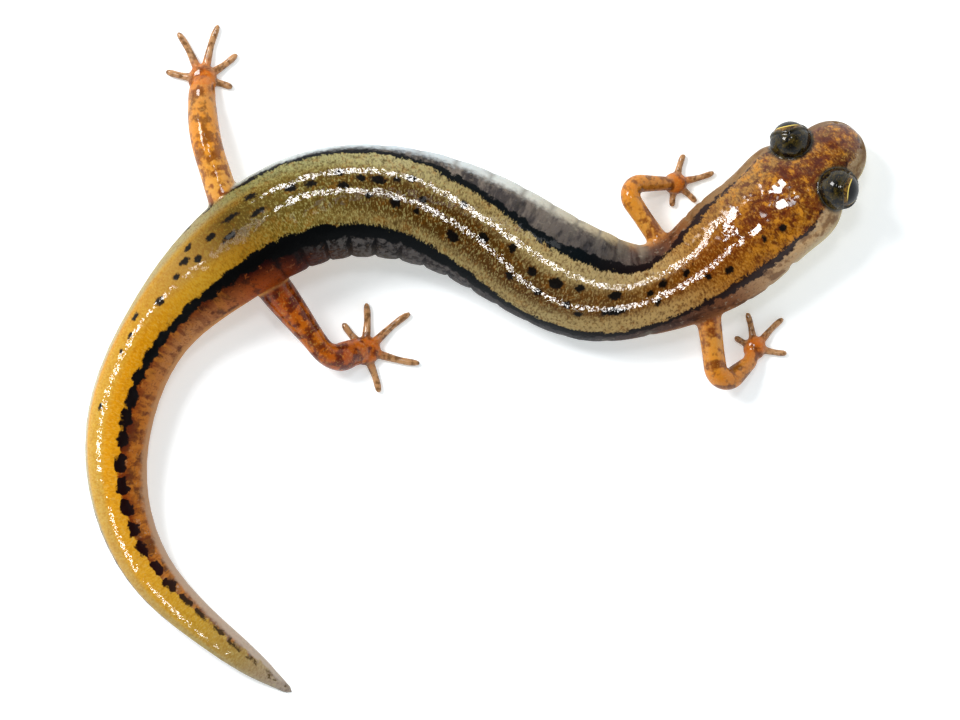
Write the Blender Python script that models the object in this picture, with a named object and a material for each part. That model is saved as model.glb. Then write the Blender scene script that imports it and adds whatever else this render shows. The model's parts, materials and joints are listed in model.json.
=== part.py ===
# Northern two-lined salamander, a still life-size model
#
# The animal lies on the floor (z = 0) in one long S, seen here in metres with +Z up. +X runs
# from the tail's outer bend to the snout, and the animal's left side faces +Y at its head.
# The whole body, from snout to tail tip, is one rule: a spine curve on the floor, and an oval
# section at each distance along it. That rule is cut into lengths with a hair of clear space
# between them. Limbs grow from the flanks, and eyes sit in sockets under their lids.

import math

import bmesh
import bpy
import numpy as np
from mathutils import Matrix, Vector

MM = 0.001
GAP = 0.3 * MM             # clear space between pieces that touch
EYE_GAP = 0.12 * MM        # the eyeball's clearance in its socket
SINK = 0.14 * MM           # how far a resting section is pressed flat against the floor

# The spine seen from above, snout to tail tip: x, y in millimetres
SPINE = (
    (26.65, 16.00), (21.72, 11.18), (17.76, 7.76), (13.76, 5.30),
    (8.72, 5.04), (4.52, 6.76), (0.18, 9.17), (-5.29, 10.92),
    (-11.38, 10.61), (-17.54, 6.97), (-22.09, 2.28), (-24.71, -3.40),
    (-24.99, -9.14), (-22.82, -14.81), (-18.80, -18.94), (-12.88, -23.49),
)

# The body's girth, in millimetres: distance from the snout, half width, rise of the back
# above the widest line, depth of the belly below it
GIRTH = (
    (0.0, 2.52, 1.45, 1.10),
    (2.5, 2.55, 1.75, 1.35),
    (3.8, 2.85, 1.98, 1.50),
    (5.4, 3.72, 2.20, 1.75),
    (8.0, 3.84, 2.42, 2.10),
    (12.1, 3.84, 2.60, 2.30),
    (14.5, 3.50, 2.66, 2.35),
    (17.0, 3.16, 2.72, 2.38),
    (19.2, 3.28, 2.80, 2.42),
    (22.0, 3.98, 2.92, 2.55),
    (26.5, 4.22, 3.20, 2.85),
    (33.0, 4.00, 3.35, 2.95),
    (40.0, 4.00, 3.35, 2.95),
    (43.0, 4.05, 3.30, 2.92),
    (47.0, 4.02, 3.20, 2.85),
    (50.5, 3.68, 3.05, 2.72),
    (54.0, 3.00, 2.92, 2.62),
    (57.1, 2.40, 2.75, 2.55),
    (63.4, 2.15, 2.60, 2.40),
    (70.4, 1.75, 2.25, 2.05),
    (77.0, 1.30, 1.78, 1.62),
    (81.1, 1.00, 1.40, 1.30),
    (85.0, 0.62, 1.00, 0.95),
    (88.5, 0.14, 0.20, 0.20),
)

# How far the back leans to the animal's left, in degrees, at distances from the snout
LEAN = (
    (0.0, 15), (5.0, 14), (9.0, 9), (12.6, 2), (15.0, 0), (17.0, -4), (19.0, -13),
    (22.0, -26), (24.5, -30), (27.5, -24), (30.7, -12), (34.3, -1), (37.0, 9),
    (40.5, 18), (44.0, 26), (48.0, 34), (56.0, 36), (63.0, 40), (70.0, 45),
    (77.0, 52), (82.0, 60), (88.5, 72),
)

# How far the body is lifted off the floor: the forelimbs carry the head
LIFT = ((0.0, 1.25), (5.0, 1.05), (9.0, 0.65), (13.0, 0.20), (17.0, 0.0), (88.5, 0.0))

# How sharp the section's upper and lower edges are: 1 is an oval, more is a blade
KEEL = ((0.0, 0.86), (6.0, 0.88), (14.0, 0.95), (25.0, 1.0), (50.0, 1.0), (62.0, 1.06),
        (74.0, 1.18), (82.0, 1.3), (88.5, 1.4))

# Snout
SNOUT_LENGTH = 2.55        # the snout is round over this length, in millimetres
SNOUT_RISE_LENGTH = 2.1
SNOUT_DEPTH_LENGTH = 1.7
SNOUT_LEAST = 0.12         # the least share of the girth at the very front

# Folds across the flanks
GROOVE_COUNT = 14
GROOVE_FIRST = 18.8        # first costal groove, behind the armpit
GROOVE_PITCH = 2.22
GROOVE_DEPTH = 0.20
GROOVE_WIDTH = 0.30
GULAR_FOLD = 9.55          # the fold that ends the throat
GULAR_DEPTH = 0.22
FURROW_DEPTH = 0.14        # the shallow furrow along the middle of the back

# Points round half a section, in degrees from the middle of the back
HALF_ANGLES = (0, 10, 21, 34, 48, 62, 76, 90, 104, 118, 133, 149, 165, 180)
HEAD_ANGLES = (0, 11, 22, 33, 44, 55, 66, 75, 83, 90, 97, 106, 118, 132, 148, 164, 180)

# The body's lengths: name, first and last distance from the snout in millimetres
LENGTHS = (
    ("head", 0.0, 10.4),
    ("neck", 10.4, 14.2),
    ("torso_shoulders", 14.2, 19.9),
    ("torso_front", 19.9, 27.7),
    ("torso_middle", 27.7, 35.4),
    ("torso_rear", 35.4, 43.2),
    ("torso_hips", 43.2, 51.6),
    ("tail_base", 51.6, 58.6),
    ("tail_front", 58.6, 66.2),
    ("tail_middle", 66.2, 73.6),
    ("tail_rear", 73.6, 81.0),
    ("tail_tip", 81.0, 88.5),
)
BODY_RING_STEP = 1.0
TAIL_RING_STEP = 1.25
TIP_LENGTH = 0.35          # the last point reaches this far past the last section

# Eyes: a lid mound on the head, a socket in it and a ball in the socket, in millimetres
EYE_ALONG = 3.85
EYE_SIDE = 2.42
EYE_UP = 1.48
LID_RADIUS = 1.46
BALL_RADIUS = 0.98
BALL_OUT = 0.36            # the ball sits this far out of the mound's centre
GAZE = (0.58, 0.78, 0.16)  # forward, outward, up
LID_OPENING = (0.98, 0.80, 0.50)   # half the opening's length and height, and its bevel
LID_OPENING_OUT = 1.16     # how far out of the mound's centre the lids' edges lie

# Mouth and nostrils
MOUTH_END = 6.3
MOUTH_DEPTH = 0.30
MOUTH_OPENING = 0.26
MOUTH_CORNER_RISE = 0.30
NOSTRIL_ALONG = 0.62
NOSTRIL_SIDE = 1.22
NOSTRIL_UP = 0.62
NOSTRIL_RADIUS = 0.21

# Limbs: shoulder or hip inside the flank, elbow or knee, wrist or ankle, and the middle of
# the foot, in millimetres; toes by direction in degrees and reach from the foot's middle
LIMBS = {
    "forelimb_left": {
        "names": ("upper_arm_left", "forearm_left", "hand_left"),
        "points": ((13.90, 6.75, 2.3), (10.10, 12.35, 2.2), (13.35, 12.38, 0.80)),
        "radii": (1.00, 0.66, 0.70, 0.60, 0.50),
        "foot": (14.05, 12.40),
        "palm": 0.78,
        "toes": ((73, 2.15), (16, 2.85), (-42, 1.98), (-97, 1.66)),
    },
    "forelimb_right": {
        "names": ("upper_arm_right", "forearm_right", "hand_right"),
        "points": ((16.15, 4.3, 2.3), (17.02, -2.20, 2.2), (19.25, -0.22, 0.80)),
        "radii": (1.05, 0.80, 0.80, 0.70, 0.52),
        "foot": (19.64, 0.80),
        "palm": 0.80,
        "toes": ((150, 1.60), (102, 2.55), (46, 2.90), (-9, 2.30)),
    },
    "hindlimb_left": {
        "names": ("thigh_left", "shin_left", "foot_left"),
        "points": ((-17.0, 9.3, 2.4), (-19.05, 15.6, 1.9), (-19.25, 18.2, 0.85)),
        "radii": (1.30, 1.08, 1.08, 1.06, 0.98),
        "foot": (-19.20, 19.70),
        "palm": 1.02,
        "toes": ((167, 2.66), (118, 3.75), (74, 4.00), (37, 3.00), (-15, 2.15)),
    },
    "hindlimb_right": {
        "names": ("thigh_right", "shin_right", "foot_right"),
        "points": ((-15.6, 7.0, 2.4), (-10.12, -0.15, 1.9), (-8.75, 0.45, 0.85)),
        "radii": (1.38, 1.02, 0.90, 1.02, 0.95),
        "foot": (-7.75, 0.62),
        "palm": 1.02,
        "toes": ((129, 2.50), (89, 3.35), (40, 4.10), (-13, 3.90), (-72, 3.10)),
    },
}
LIMB_SIDES = 14
LIMB_BEND = 1.7            # how far from the elbow or knee the bend starts
LIMB_FLATNESS = 0.92       # height of a limb's section over its width
PALM_HEIGHT = 0.44
PALM_THICKNESS = 0.52
TOE_RADIUS = 0.27
TOE_HEIGHT = 0.235
TOE_SHAPE = ((0.0, 1.15), (0.35, 1.05), (0.62, 0.90), (0.84, 1.06), (0.95, 0.88), (1.0, 0.45))

COLOURS = {
    "back": (0.30, 0.22, 0.07),
    "head": (0.38, 0.18, 0.03),
    "tail": (0.60, 0.33, 0.03),
    "limb": (0.62, 0.20, 0.02),
    "hand": (0.55, 0.26, 0.10),
    "eye": (0.02, 0.02, 0.012),
}


# Curves through named points

def spline(knots, values):
    """Natural cubic through (knots, values), returned as a function of one distance."""
    knots = np.asarray(knots, float)
    values = np.asarray(values, float)
    step = np.diff(knots)
    last = len(knots) - 1
    system = np.eye(last + 1)
    target = np.zeros(last + 1)
    for i in range(1, last):
        system[i, i - 1:i + 2] = step[i - 1], 2 * (step[i - 1] + step[i]), step[i]
        target[i] = 6 * ((values[i + 1] - values[i]) / step[i] - (values[i] - values[i - 1]) / step[i - 1])
    bend = np.linalg.solve(system, target)

    def at(distance):
        i = int(np.clip(np.searchsorted(knots, distance) - 1, 0, last - 1))
        a = (knots[i + 1] - distance) / step[i]
        b = 1 - a
        curve = ((a ** 3 - a) * bend[i] + (b ** 3 - b) * bend[i + 1]) * step[i] ** 2 / 6
        return float(a * values[i] + b * values[i + 1] + curve)

    return at


def column(table, index):
    return spline([row[0] for row in table], [row[index] for row in table])


half_width = column(GIRTH, 1)
rise = column(GIRTH, 2)
depth = column(GIRTH, 3)
lean_degrees = column(LEAN, 1)
lift = column(LIFT, 1)
keel = column(KEEL, 1)

CHORD = np.concatenate([[0], np.cumsum([math.dist(a, b) for a, b in zip(SPINE, SPINE[1:])])])
spine_x = spline(CHORD, [point[0] for point in SPINE])
spine_y = spline(CHORD, [point[1] for point in SPINE])
FINE = np.linspace(0, CHORD[-1], 1500)
FINE_XY = np.array([(spine_x(t), spine_y(t)) for t in FINE])
TRAVEL = np.concatenate([[0], np.cumsum(np.hypot(*np.diff(FINE_XY, axis=0).T))])
BODY_LENGTH = float(TRAVEL[-1])


def spine_at(distance):
    """Point on the spine and the unit vector towards the tail, both on the floor."""
    t = float(np.interp(distance, TRAVEL, FINE))
    here = Vector((spine_x(t), spine_y(t), 0))
    ahead = Vector((spine_x(t + 0.05), spine_y(t + 0.05), 0))
    return here, (ahead - here).normalized()


# The body's sections

def rounded(distance, length):
    """Share of the full girth near a round end."""
    if distance >= length:
        return 1.0
    return max(SNOUT_LEAST, math.sqrt(max(0.0, 1 - (1 - distance / length) ** 2)))


def groove_positions():
    return [GROOVE_FIRST + GROOVE_PITCH * i for i in range(GROOVE_COUNT)]


def fold(distance, angle):
    """How deep the skin is folded in at this place, in millimetres."""
    side = abs(angle)
    flank = math.exp(-((side - 92) / 34) ** 4)
    deep = GROOVE_DEPTH * flank * sum(
        math.exp(-((distance - place) / GROOVE_WIDTH) ** 2) for place in groove_positions())
    throat = 1 / (1 + math.exp(-(side - 84) / 7))
    deep += GULAR_DEPTH * throat * math.exp(-((distance - GULAR_FOLD) / 0.34) ** 2)
    on_back = math.exp(-((distance - 28) / 22) ** 4)
    deep += FURROW_DEPTH * on_back * math.exp(-(side / 11) ** 2)
    return deep


def section(distance, angles, grow=0.0):
    """Outline points (to the left, up) of the body's section, in millimetres."""
    width = half_width(distance) * rounded(distance, SNOUT_LENGTH) + grow
    upper = rise(distance) * rounded(distance, SNOUT_RISE_LENGTH) + grow
    lower = depth(distance) * rounded(distance, SNOUT_DEPTH_LENGTH) + grow
    sharp = keel(distance)
    outline = []
    for angle in angles:
        turn = math.radians(angle)
        share_side = math.copysign(abs(math.sin(turn)) ** sharp, turn)
        share_up = abs(math.cos(turn)) ** 0.92
        reach = upper if abs(angle) < 90 else -lower
        inward = 1 - (0 if grow else fold(distance, angle)) / max(width, 0.6)
        outline.append((width * share_side * inward, reach * share_up * inward))
    return outline


def full_circle(half):
    """Angles all the way round from the angles of one half."""
    return list(half) + [-angle for angle in reversed(half[1:-1])]


def resting_height(distance):
    """Height of the section's centre when it lies pressed on the floor."""
    lean = math.radians(lean_degrees(distance))
    sharp = keel(distance)
    lowest = 0.0
    for angle in range(60, 301, 6):
        turn = math.radians(angle)
        side = half_width(distance) * math.copysign(abs(math.sin(turn)) ** sharp, math.sin(turn))
        reach = rise(distance) if math.cos(turn) > 0 else depth(distance)
        up = math.copysign(abs(math.cos(turn)) ** 0.92, math.cos(turn)) * reach
        lowest = min(lowest, up * math.cos(lean) - side * math.sin(lean))
    return -lowest - SINK / MM + lift(distance)


def place(distance, side, up, height=None):
    """World point, in metres, of a place given by the body's own directions."""
    here, tailward = spine_at(distance)
    left = Vector((0, 0, -1)).cross(tailward)
    lean = math.radians(lean_degrees(distance))
    if height is None:
        height = resting_height(distance)
    across = side * math.cos(lean) + up * math.sin(lean)
    z = height - side * math.sin(lean) + up * math.cos(lean)
    return Vector((here.x + left.x * across, here.y + left.y * across, z)) * MM


def body_ring(distance, angles, grow=0.0):
    """One planar ring of the body, pressed flat where it meets the floor."""
    height = resting_height(distance)
    ring = []
    for side, up in section(distance, angles, grow):
        point = place(distance, side, up, height)
        if not grow:
            point.z = max(point.z, 0.0)
        ring.append(point)
    return ring


# Meshes

def new_object(name, bm, collection):
    bmesh.ops.recalc_face_normals(bm, faces=bm.faces)
    bmesh.ops.triangulate(bm, faces=bm.faces)
    mesh = bpy.data.meshes.new(name)
    bm.to_mesh(mesh)
    bm.free()
    obj = bpy.data.objects.new(name, mesh)
    collection.objects.link(obj)
    return obj


def loft(name, rings, collection, first_pole=None, last_pole=None):
    """Skin over a row of rings, closed by flat ends or by single end points."""
    bm = bmesh.new()
    rows = [[bm.verts.new(point) for point in ring] for ring in rings]
    count = len(rows[0])
    for near, far in zip(rows, rows[1:]):
        for i in range(count):
            j = (i + 1) % count
            bm.faces.new((near[i], near[j], far[j], far[i]))
    for row, pole in ((rows[0], first_pole), (rows[-1], last_pole)):
        if pole is None:
            bm.faces.new(row)
            continue
        tip = bm.verts.new(pole)
        for i in range(count):
            bm.faces.new((row[i], row[(i + 1) % count], tip))
    return new_object(name, bm, collection)


def ball(name, centre, radii, collection, segments=20, rings=12, turn=None):
    bm = bmesh.new()
    bmesh.ops.create_uvsphere(bm, u_segments=segments, v_segments=rings, radius=1.0)
    shape = Matrix.Diagonal((*radii, 1))
    matrix = Matrix.Translation(centre) @ (turn or Matrix.Identity(4)) @ shape
    bmesh.ops.transform(bm, matrix=matrix, verts=bm.verts)
    return new_object(name, bm, collection)


def apply_modifiers(obj):
    mesh = bpy.data.meshes.new_from_object(obj.evaluated_get(bpy.context.evaluated_depsgraph_get()))
    obj.modifiers.clear()
    old = obj.data
    obj.data = mesh
    bpy.data.meshes.remove(old)


def keep_largest(obj):
    """Drop every loose scrap and keep the largest closed surface."""
    bm = bmesh.new()
    bm.from_mesh(obj.data)
    bmesh.ops.remove_doubles(bm, verts=bm.verts, dist=0.002 * MM)
    bmesh.ops.dissolve_degenerate(bm, dist=0.002 * MM, edges=bm.edges)
    bmesh.ops.triangulate(bm, faces=bm.faces)
    waiting = set(bm.verts)
    islands = []
    while waiting:
        stack = [waiting.pop()]
        island = set(stack)
        while stack:
            for edge in stack.pop().link_edges:
                for vert in edge.verts:
                    if vert in waiting:
                        waiting.discard(vert)
                        island.add(vert)
                        stack.append(vert)
        islands.append(island)
    islands.sort(key=len)
    scraps = [vert for island in islands[:-1] for vert in island]
    bmesh.ops.delete(bm, geom=scraps, context="VERTS")
    bm.to_mesh(obj.data)
    bm.free()


def combine(obj, others, operation, collection):
    """Join or cut an object with others by one Boolean on their collection, then drop them."""
    group = bpy.data.collections.new(obj.name + "_with")
    collection.children.link(group)
    for other in others:
        for holder in other.users_collection:
            holder.objects.unlink(other)
        group.objects.link(other)
        other.hide_render = True
        other.display_type = "WIRE"
    modifier = obj.modifiers.new(operation.lower(), "BOOLEAN")
    modifier.operation = operation
    modifier.operand_type = "COLLECTION"
    modifier.collection = group
    modifier.solver = "EXACT"
    bpy.context.view_layer.update()
    apply_modifiers(obj)
    for other in others:
        bpy.data.objects.remove(other)
    bpy.data.collections.remove(group)
    keep_largest(obj)
    return obj


def material(name, colour, roughness):
    made = bpy.data.materials.new(name)
    made.use_nodes = True
    shader = made.node_tree.nodes["Principled BSDF"]
    shader.inputs["Base Color"].default_value = (*colour, 1)
    shader.inputs["Roughness"].default_value = roughness
    shader.inputs["Metallic"].default_value = 0.0
    return made


def finish(obj, colour, roughness=0.35):
    obj.data.materials.clear()
    obj.data.materials.append(material("mat_" + obj.name, COLOURS[colour], roughness))
    obj.data.shade_smooth()
    obj.data.set_sharp_from_angle(angle=math.radians(40))


# Head, neck, torso and tail

def ring_places(start, end):
    """Distances of a length's rings: close together at its folds, wide apart elsewhere."""
    folds = groove_positions()
    places = []
    for i, groove in enumerate(folds):
        places += [groove - 0.42, groove, groove + 0.42]
        if i + 1 < len(folds):
            places.append(groove + GROOVE_PITCH / 2)
    spread = TAIL_RING_STEP if start >= folds[-1] else BODY_RING_STEP
    steps = max(1, round((end - start) / spread))
    places += [start + (end - start) * i / steps for i in range(1, steps)
               if not folds[0] - 0.6 < start + (end - start) * i / steps < folds[-1] + 0.6]
    return [start] + sorted(p for p in places if start + 0.25 < p < end - 0.25) + [end]


def body_length(name, start, end, collection):
    angles = full_circle(HALF_ANGLES)
    half_gap = GAP / MM / 2
    first = start + half_gap
    last = end - half_gap
    tip = None
    if end >= BODY_LENGTH - 0.2:
        last = BODY_LENGTH - TIP_LENGTH
        tip = place(last, 0, 0)
        here, tailward = spine_at(last)
        tip += tailward * TIP_LENGTH * MM
        tip.z = max(tip.z, 0.1 * MM)
    rings = [body_ring(distance, angles) for distance in ring_places(first, last)]
    return loft(name, rings, collection, last_pole=tip)


def mouth_line():
    """Places along the lips, from the left corner round the snout to the right corner."""
    side = []
    for along in np.linspace(MOUTH_END, SNOUT_LENGTH + 0.35, 8):
        side.append((float(along), half_width(along)))
    for turn in np.linspace(78, 0, 9):
        along = SNOUT_LENGTH * (1 - math.cos(math.radians(turn)))
        side.append((along, half_width(along) * math.sin(math.radians(turn))))
    return side + [(along, -out) for along, out in reversed(side[:-1])]


def mouth_blade(collection):
    """A wedge that follows the lips: cutting it away leaves the line of the mouth."""
    line = mouth_line()
    rings = []
    for i, (along, out) in enumerate(line):
        before = line[max(i - 1, 0)]
        after = line[min(i + 1, len(line) - 1)]
        step = Vector((after[0] - before[0], after[1] - before[1], 0)).normalized()
        outward = Vector((-step.y, step.x, 0))
        if outward.y * out < 0 or (abs(out) < 0.01 and outward.x > 0):
            outward.negate()
        fade = min(1.0, (MOUTH_END - along) / 1.1 + 0.12)
        raised = MOUTH_CORNER_RISE * max(0.0, (along - 4.2) / (MOUTH_END - 4.2)) ** 2
        height = resting_height(along)
        ring = []
        for reach, up in ((-MOUTH_DEPTH * fade, 0), (0.35, MOUTH_OPENING), (0.35, -MOUTH_OPENING)):
            spot = (along + outward.x * reach, out + outward.y * reach)
            ring.append(place(max(along, 0), spot[1], raised + up * 0.9, height))
            ring[-1] -= spine_at(max(along, 0))[1] * (along - spot[0]) * MM
        rings.append(ring)
    return loft("mouth_blade", rings, collection)


def gaze(side):
    """Unit vector along which an eye looks; side is 1 for the left eye, -1 for the right."""
    here, tailward = spine_at(EYE_ALONG)
    origin = place(EYE_ALONG, 0, 0)
    left = place(EYE_ALONG, 1, 0) - origin
    up = place(EYE_ALONG, 0, 1) - origin
    forward, out, raised = GAZE
    return (-tailward * forward + left.normalized() * out * side + up.normalized() * raised).normalized()


def eye_centre(side):
    return place(EYE_ALONG, EYE_SIDE * side, EYE_UP)


def head(collection, cutters):
    angles = full_circle(HEAD_ANGLES)
    places = [0.05, 0.18, 0.38, 0.66, 1.0, 1.4, 1.9, 2.5, 3.1, 3.7, 4.3, 4.9, 5.5, 6.1,
              6.8, 7.6, 8.4, 9.0, 9.3, 9.55, 9.8, 10.4 - GAP / MM / 2]
    rings = [body_ring(distance, angles) for distance in places]
    obj = loft("head", rings, collection, first_pole=place(0, 0, 0))
    radius = LID_RADIUS * MM
    mounds = [ball("lid_mound", eye_centre(side), (radius,) * 3, cutters) for side in (1, -1)]
    combine(obj, mounds, "UNION", cutters)
    hollow = BALL_RADIUS * MM + EYE_GAP
    opening = tuple(size * MM for size in LID_OPENING)
    pit = NOSTRIL_RADIUS * MM
    cuts = []
    for side in (1, -1):
        out = gaze(side)
        turn = out.to_track_quat("Z", "Y").to_matrix().to_4x4()
        cuts.append(ball("socket", eye_centre(side) + out * BALL_OUT * MM, (hollow,) * 3, cutters,
                         turn=turn))
        cuts.append(ball("lid_opening", eye_centre(side) + out * LID_OPENING_OUT * MM, opening,
                         cutters, segments=24, turn=turn))
        nostril = place(NOSTRIL_ALONG, NOSTRIL_SIDE * side, NOSTRIL_UP)
        cuts.append(ball("nostril", nostril, (pit,) * 3, cutters, segments=10, rings=6))
    cuts.append(mouth_blade(cutters))
    combine(obj, cuts, "DIFFERENCE", cutters)
    return obj


def eye(name, side, collection):
    centre = eye_centre(side) + gaze(side) * BALL_OUT * MM
    turn = gaze(side).to_track_quat("Z", "Y").to_matrix().to_4x4()
    return ball(name, centre, (BALL_RADIUS * MM,) * 3, collection, segments=20, rings=14, turn=turn)


# Limbs

def limb_path(points):
    """Smooth centre line from the root over the bend to the wrist, and where it bends."""
    root, corner, end = (Vector(point) for point in points)
    upper = (corner - root).length
    lower = (end - corner).length
    bend = min(LIMB_BEND, upper * 0.6, lower * 0.7)
    start = corner.lerp(root, bend / upper)
    stop = corner.lerp(end, bend / lower)
    half_angle = (start - corner).angle(stop - corner) / 2
    inward = ((start + stop) / 2 - corner).normalized()
    middle = corner + inward * bend / math.cos(half_angle)
    straight_in = [root.lerp(start, i / 5) for i in range(5)]
    radius = (start - middle).length
    curved = [middle + (start - middle).slerp(stop - middle, i / 6) * radius for i in range(7)]
    straight_out = [stop.lerp(end, (i + 1) / 4) for i in range(4)]
    return straight_in + curved + straight_out, len(straight_in) + 3


def tube(name, centres, radii, collection):
    """Loft of oval rings square to a path, in millimetres."""
    rings = []
    last = len(centres) - 1
    for i, centre in enumerate(centres):
        ahead = (centres[min(i + 1, last)] - centres[max(i - 1, 0)]).normalized()
        across = ahead.cross(Vector((0, 0, 1))).normalized()
        up = across.cross(ahead)
        ring = []
        for k in range(LIMB_SIDES):
            turn = math.tau * k / LIMB_SIDES
            ring.append((centre + across * math.cos(turn) * radii[i]
                         + up * math.sin(turn) * radii[i] * LIMB_FLATNESS) * MM)
        rings.append(ring)
    return loft(name, rings, collection)


def limb_radii(centres, bend, widths):
    """Girth along a limb: root, middle of the upper part, bend, middle of the lower part, end."""
    travel = [0.0]
    for a, b in zip(centres, centres[1:]):
        travel.append(travel[-1] + (b - a).length)
    knots = (0, travel[bend] * 0.6, travel[bend], (travel[bend] + travel[-1]) / 2, travel[-1])
    girth = spline(knots, widths)
    return [girth(distance) for distance in travel]


def trunk_cutter(root, cutters):
    """The trunk near a limb's root, swollen by the clear space."""
    distances = np.linspace(13.0, 52.0, 120)
    nearest = min(distances, key=lambda d: (spine_at(d)[0].xy - Vector(root[:2])).length)
    angles = full_circle(HALF_ANGLES)
    rings = [body_ring(nearest + offset, angles, grow=GAP / MM)
             for offset in np.arange(-5.0, 5.01, 0.8)]
    return loft("trunk_cutter", rings, cutters)


def split_tube(name, centres, radii, start, end, trim_start, trim_end, collection):
    """Part of a limb, its ends pulled back by half the clear space where it meets the next."""
    points = list(centres[start:end + 1])
    girths = list(radii[start:end + 1])
    half_gap = GAP / MM / 2
    if trim_start:
        points[0] = points[0] + (points[1] - points[0]).normalized() * half_gap
    if trim_end:
        points[-1] = points[-1] + (points[-2] - points[-1]).normalized() * half_gap
    return tube(name, points, girths, collection)


def toe(name, foot, heading, reach, size, cutters):
    """One toe: a poly curve from the foot's middle with a small pad near its tip."""
    curve = bpy.data.curves.new(name, "CURVE")
    curve.dimensions = "3D"
    curve.bevel_depth = TOE_RADIUS * MM
    curve.bevel_resolution = 2
    curve.use_fill_caps = True
    line = curve.splines.new("POLY")
    line.points.add(len(TOE_SHAPE) - 1)
    direction = Vector((math.cos(math.radians(heading)), math.sin(math.radians(heading)), 0))
    for point, (share, girth) in zip(line.points, TOE_SHAPE):
        drop = PALM_HEIGHT + (TOE_HEIGHT - PALM_HEIGHT) * min(1.0, share * 1.8)
        spot = Vector((foot[0], foot[1], drop)) + direction * reach * share
        point.co = (*(spot * MM), 1)
        point.radius = girth * size
    holder = bpy.data.objects.new(name, curve)
    cutters.objects.link(holder)
    bpy.context.view_layer.update()
    mesh = bpy.data.meshes.new_from_object(holder.evaluated_get(bpy.context.evaluated_depsgraph_get()))
    bpy.data.objects.remove(holder)
    bpy.data.curves.remove(curve)
    bm = bmesh.new()
    bm.from_mesh(mesh)
    bpy.data.meshes.remove(mesh)
    bmesh.ops.remove_doubles(bm, verts=bm.verts, dist=0.005 * MM)
    return new_object(name, bm, cutters)


def floor_block(cutters):
    """All that lies below the floor."""
    bm = bmesh.new()
    bmesh.ops.create_cube(bm, size=1.0)
    thick = 4 * MM
    matrix = Matrix.Translation((0, 0, -thick / 2)) @ Matrix.Diagonal((90 * MM, 90 * MM, thick, 1))
    bmesh.ops.transform(bm, matrix=matrix, verts=bm.verts)
    return new_object("floor_block", bm, cutters)


def foot(name, wrist, before_wrist, spec, collection, cutters):
    """Wrist, palm and toes joined, and cut flat where they stand on the floor."""
    middle = Vector((*spec["foot"], PALM_HEIGHT))
    wrist_end = spec["radii"][-1]
    start = wrist + (wrist - before_wrist).normalized() * GAP / MM / 2
    path = [start.lerp(middle, t) for t in (0, 0.35, 0.7, 1.0)]
    girths = [wrist_end, wrist_end * 0.98, wrist_end * 0.9, wrist_end * 0.7]
    obj = tube(name, path, girths, collection)
    size = spec["palm"]
    heading = math.atan2(middle.y - wrist.y, middle.x - wrist.x)
    turn = Matrix.Rotation(heading, 4, "Z")
    palm = ball("palm", middle * MM, (size * 1.08 * MM, size * MM, PALM_THICKNESS * MM), cutters,
                segments=16, rings=8, turn=turn)
    scale = 1.0 if size < 0.9 else 1.12
    pieces = [palm]
    for i, (heading, reach) in enumerate(spec["toes"]):
        pieces.append(toe(f"toe_{i}", spec["foot"], heading, reach, scale, cutters))
    combine(obj, pieces, "UNION", cutters)
    combine(obj, [floor_block(cutters)], "DIFFERENCE", cutters)
    return obj


def limb(spec, collection, cutters):
    upper_name, lower_name, foot_name = spec["names"]
    centres, bend = limb_path(spec["points"])
    radii = limb_radii(centres, bend, spec["radii"])
    last = len(centres) - 1
    upper = split_tube(upper_name, centres, radii, 0, bend, False, True, collection)
    combine(upper, [trunk_cutter(spec["points"][0], cutters)], "DIFFERENCE", cutters)
    lower = split_tube(lower_name, centres, radii, bend, last, True, True, collection)
    hand = foot(foot_name, centres[-1], centres[-2], spec, collection, cutters)
    finish(upper, "limb")
    finish(lower, "limb")
    finish(hand, "hand")


def main():
    for obj in list(bpy.data.objects):
        bpy.data.objects.remove(obj, do_unlink=True)
    scene = bpy.context.scene
    collection = bpy.data.collections.new("two_lined_salamander")
    cutters = bpy.data.collections.new("cutters")
    scene.collection.children.link(collection)
    scene.collection.children.link(cutters)
    finish(head(collection, cutters), "head")
    for name, start, end in LENGTHS[1:]:
        piece = body_length(name, start, end, collection)
        finish(piece, "tail" if name.startswith("tail") else "back")
    for name, side in (("eye_left", 1), ("eye_right", -1)):
        finish(eye(name, side, collection), "eye", roughness=0.06)
    for spec in LIMBS.values():
        limb(spec, collection, cutters)


main()
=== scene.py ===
# %% [markdown]
# # Northern two-lined salamander, life size
# A still museum model of one small stream salamander, about 88 mm long, lying in an S on a pale
# floor. The packed solids give its true places and sizes. This lesson dresses them: one smooth
# wet skin over all the flesh, two glossy eyes, the dark side stripes and the speckled back.

# %% Load the solids
import json
import math

import bmesh
import bpy
import numpy as np
from mathutils import Matrix, Vector

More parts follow.
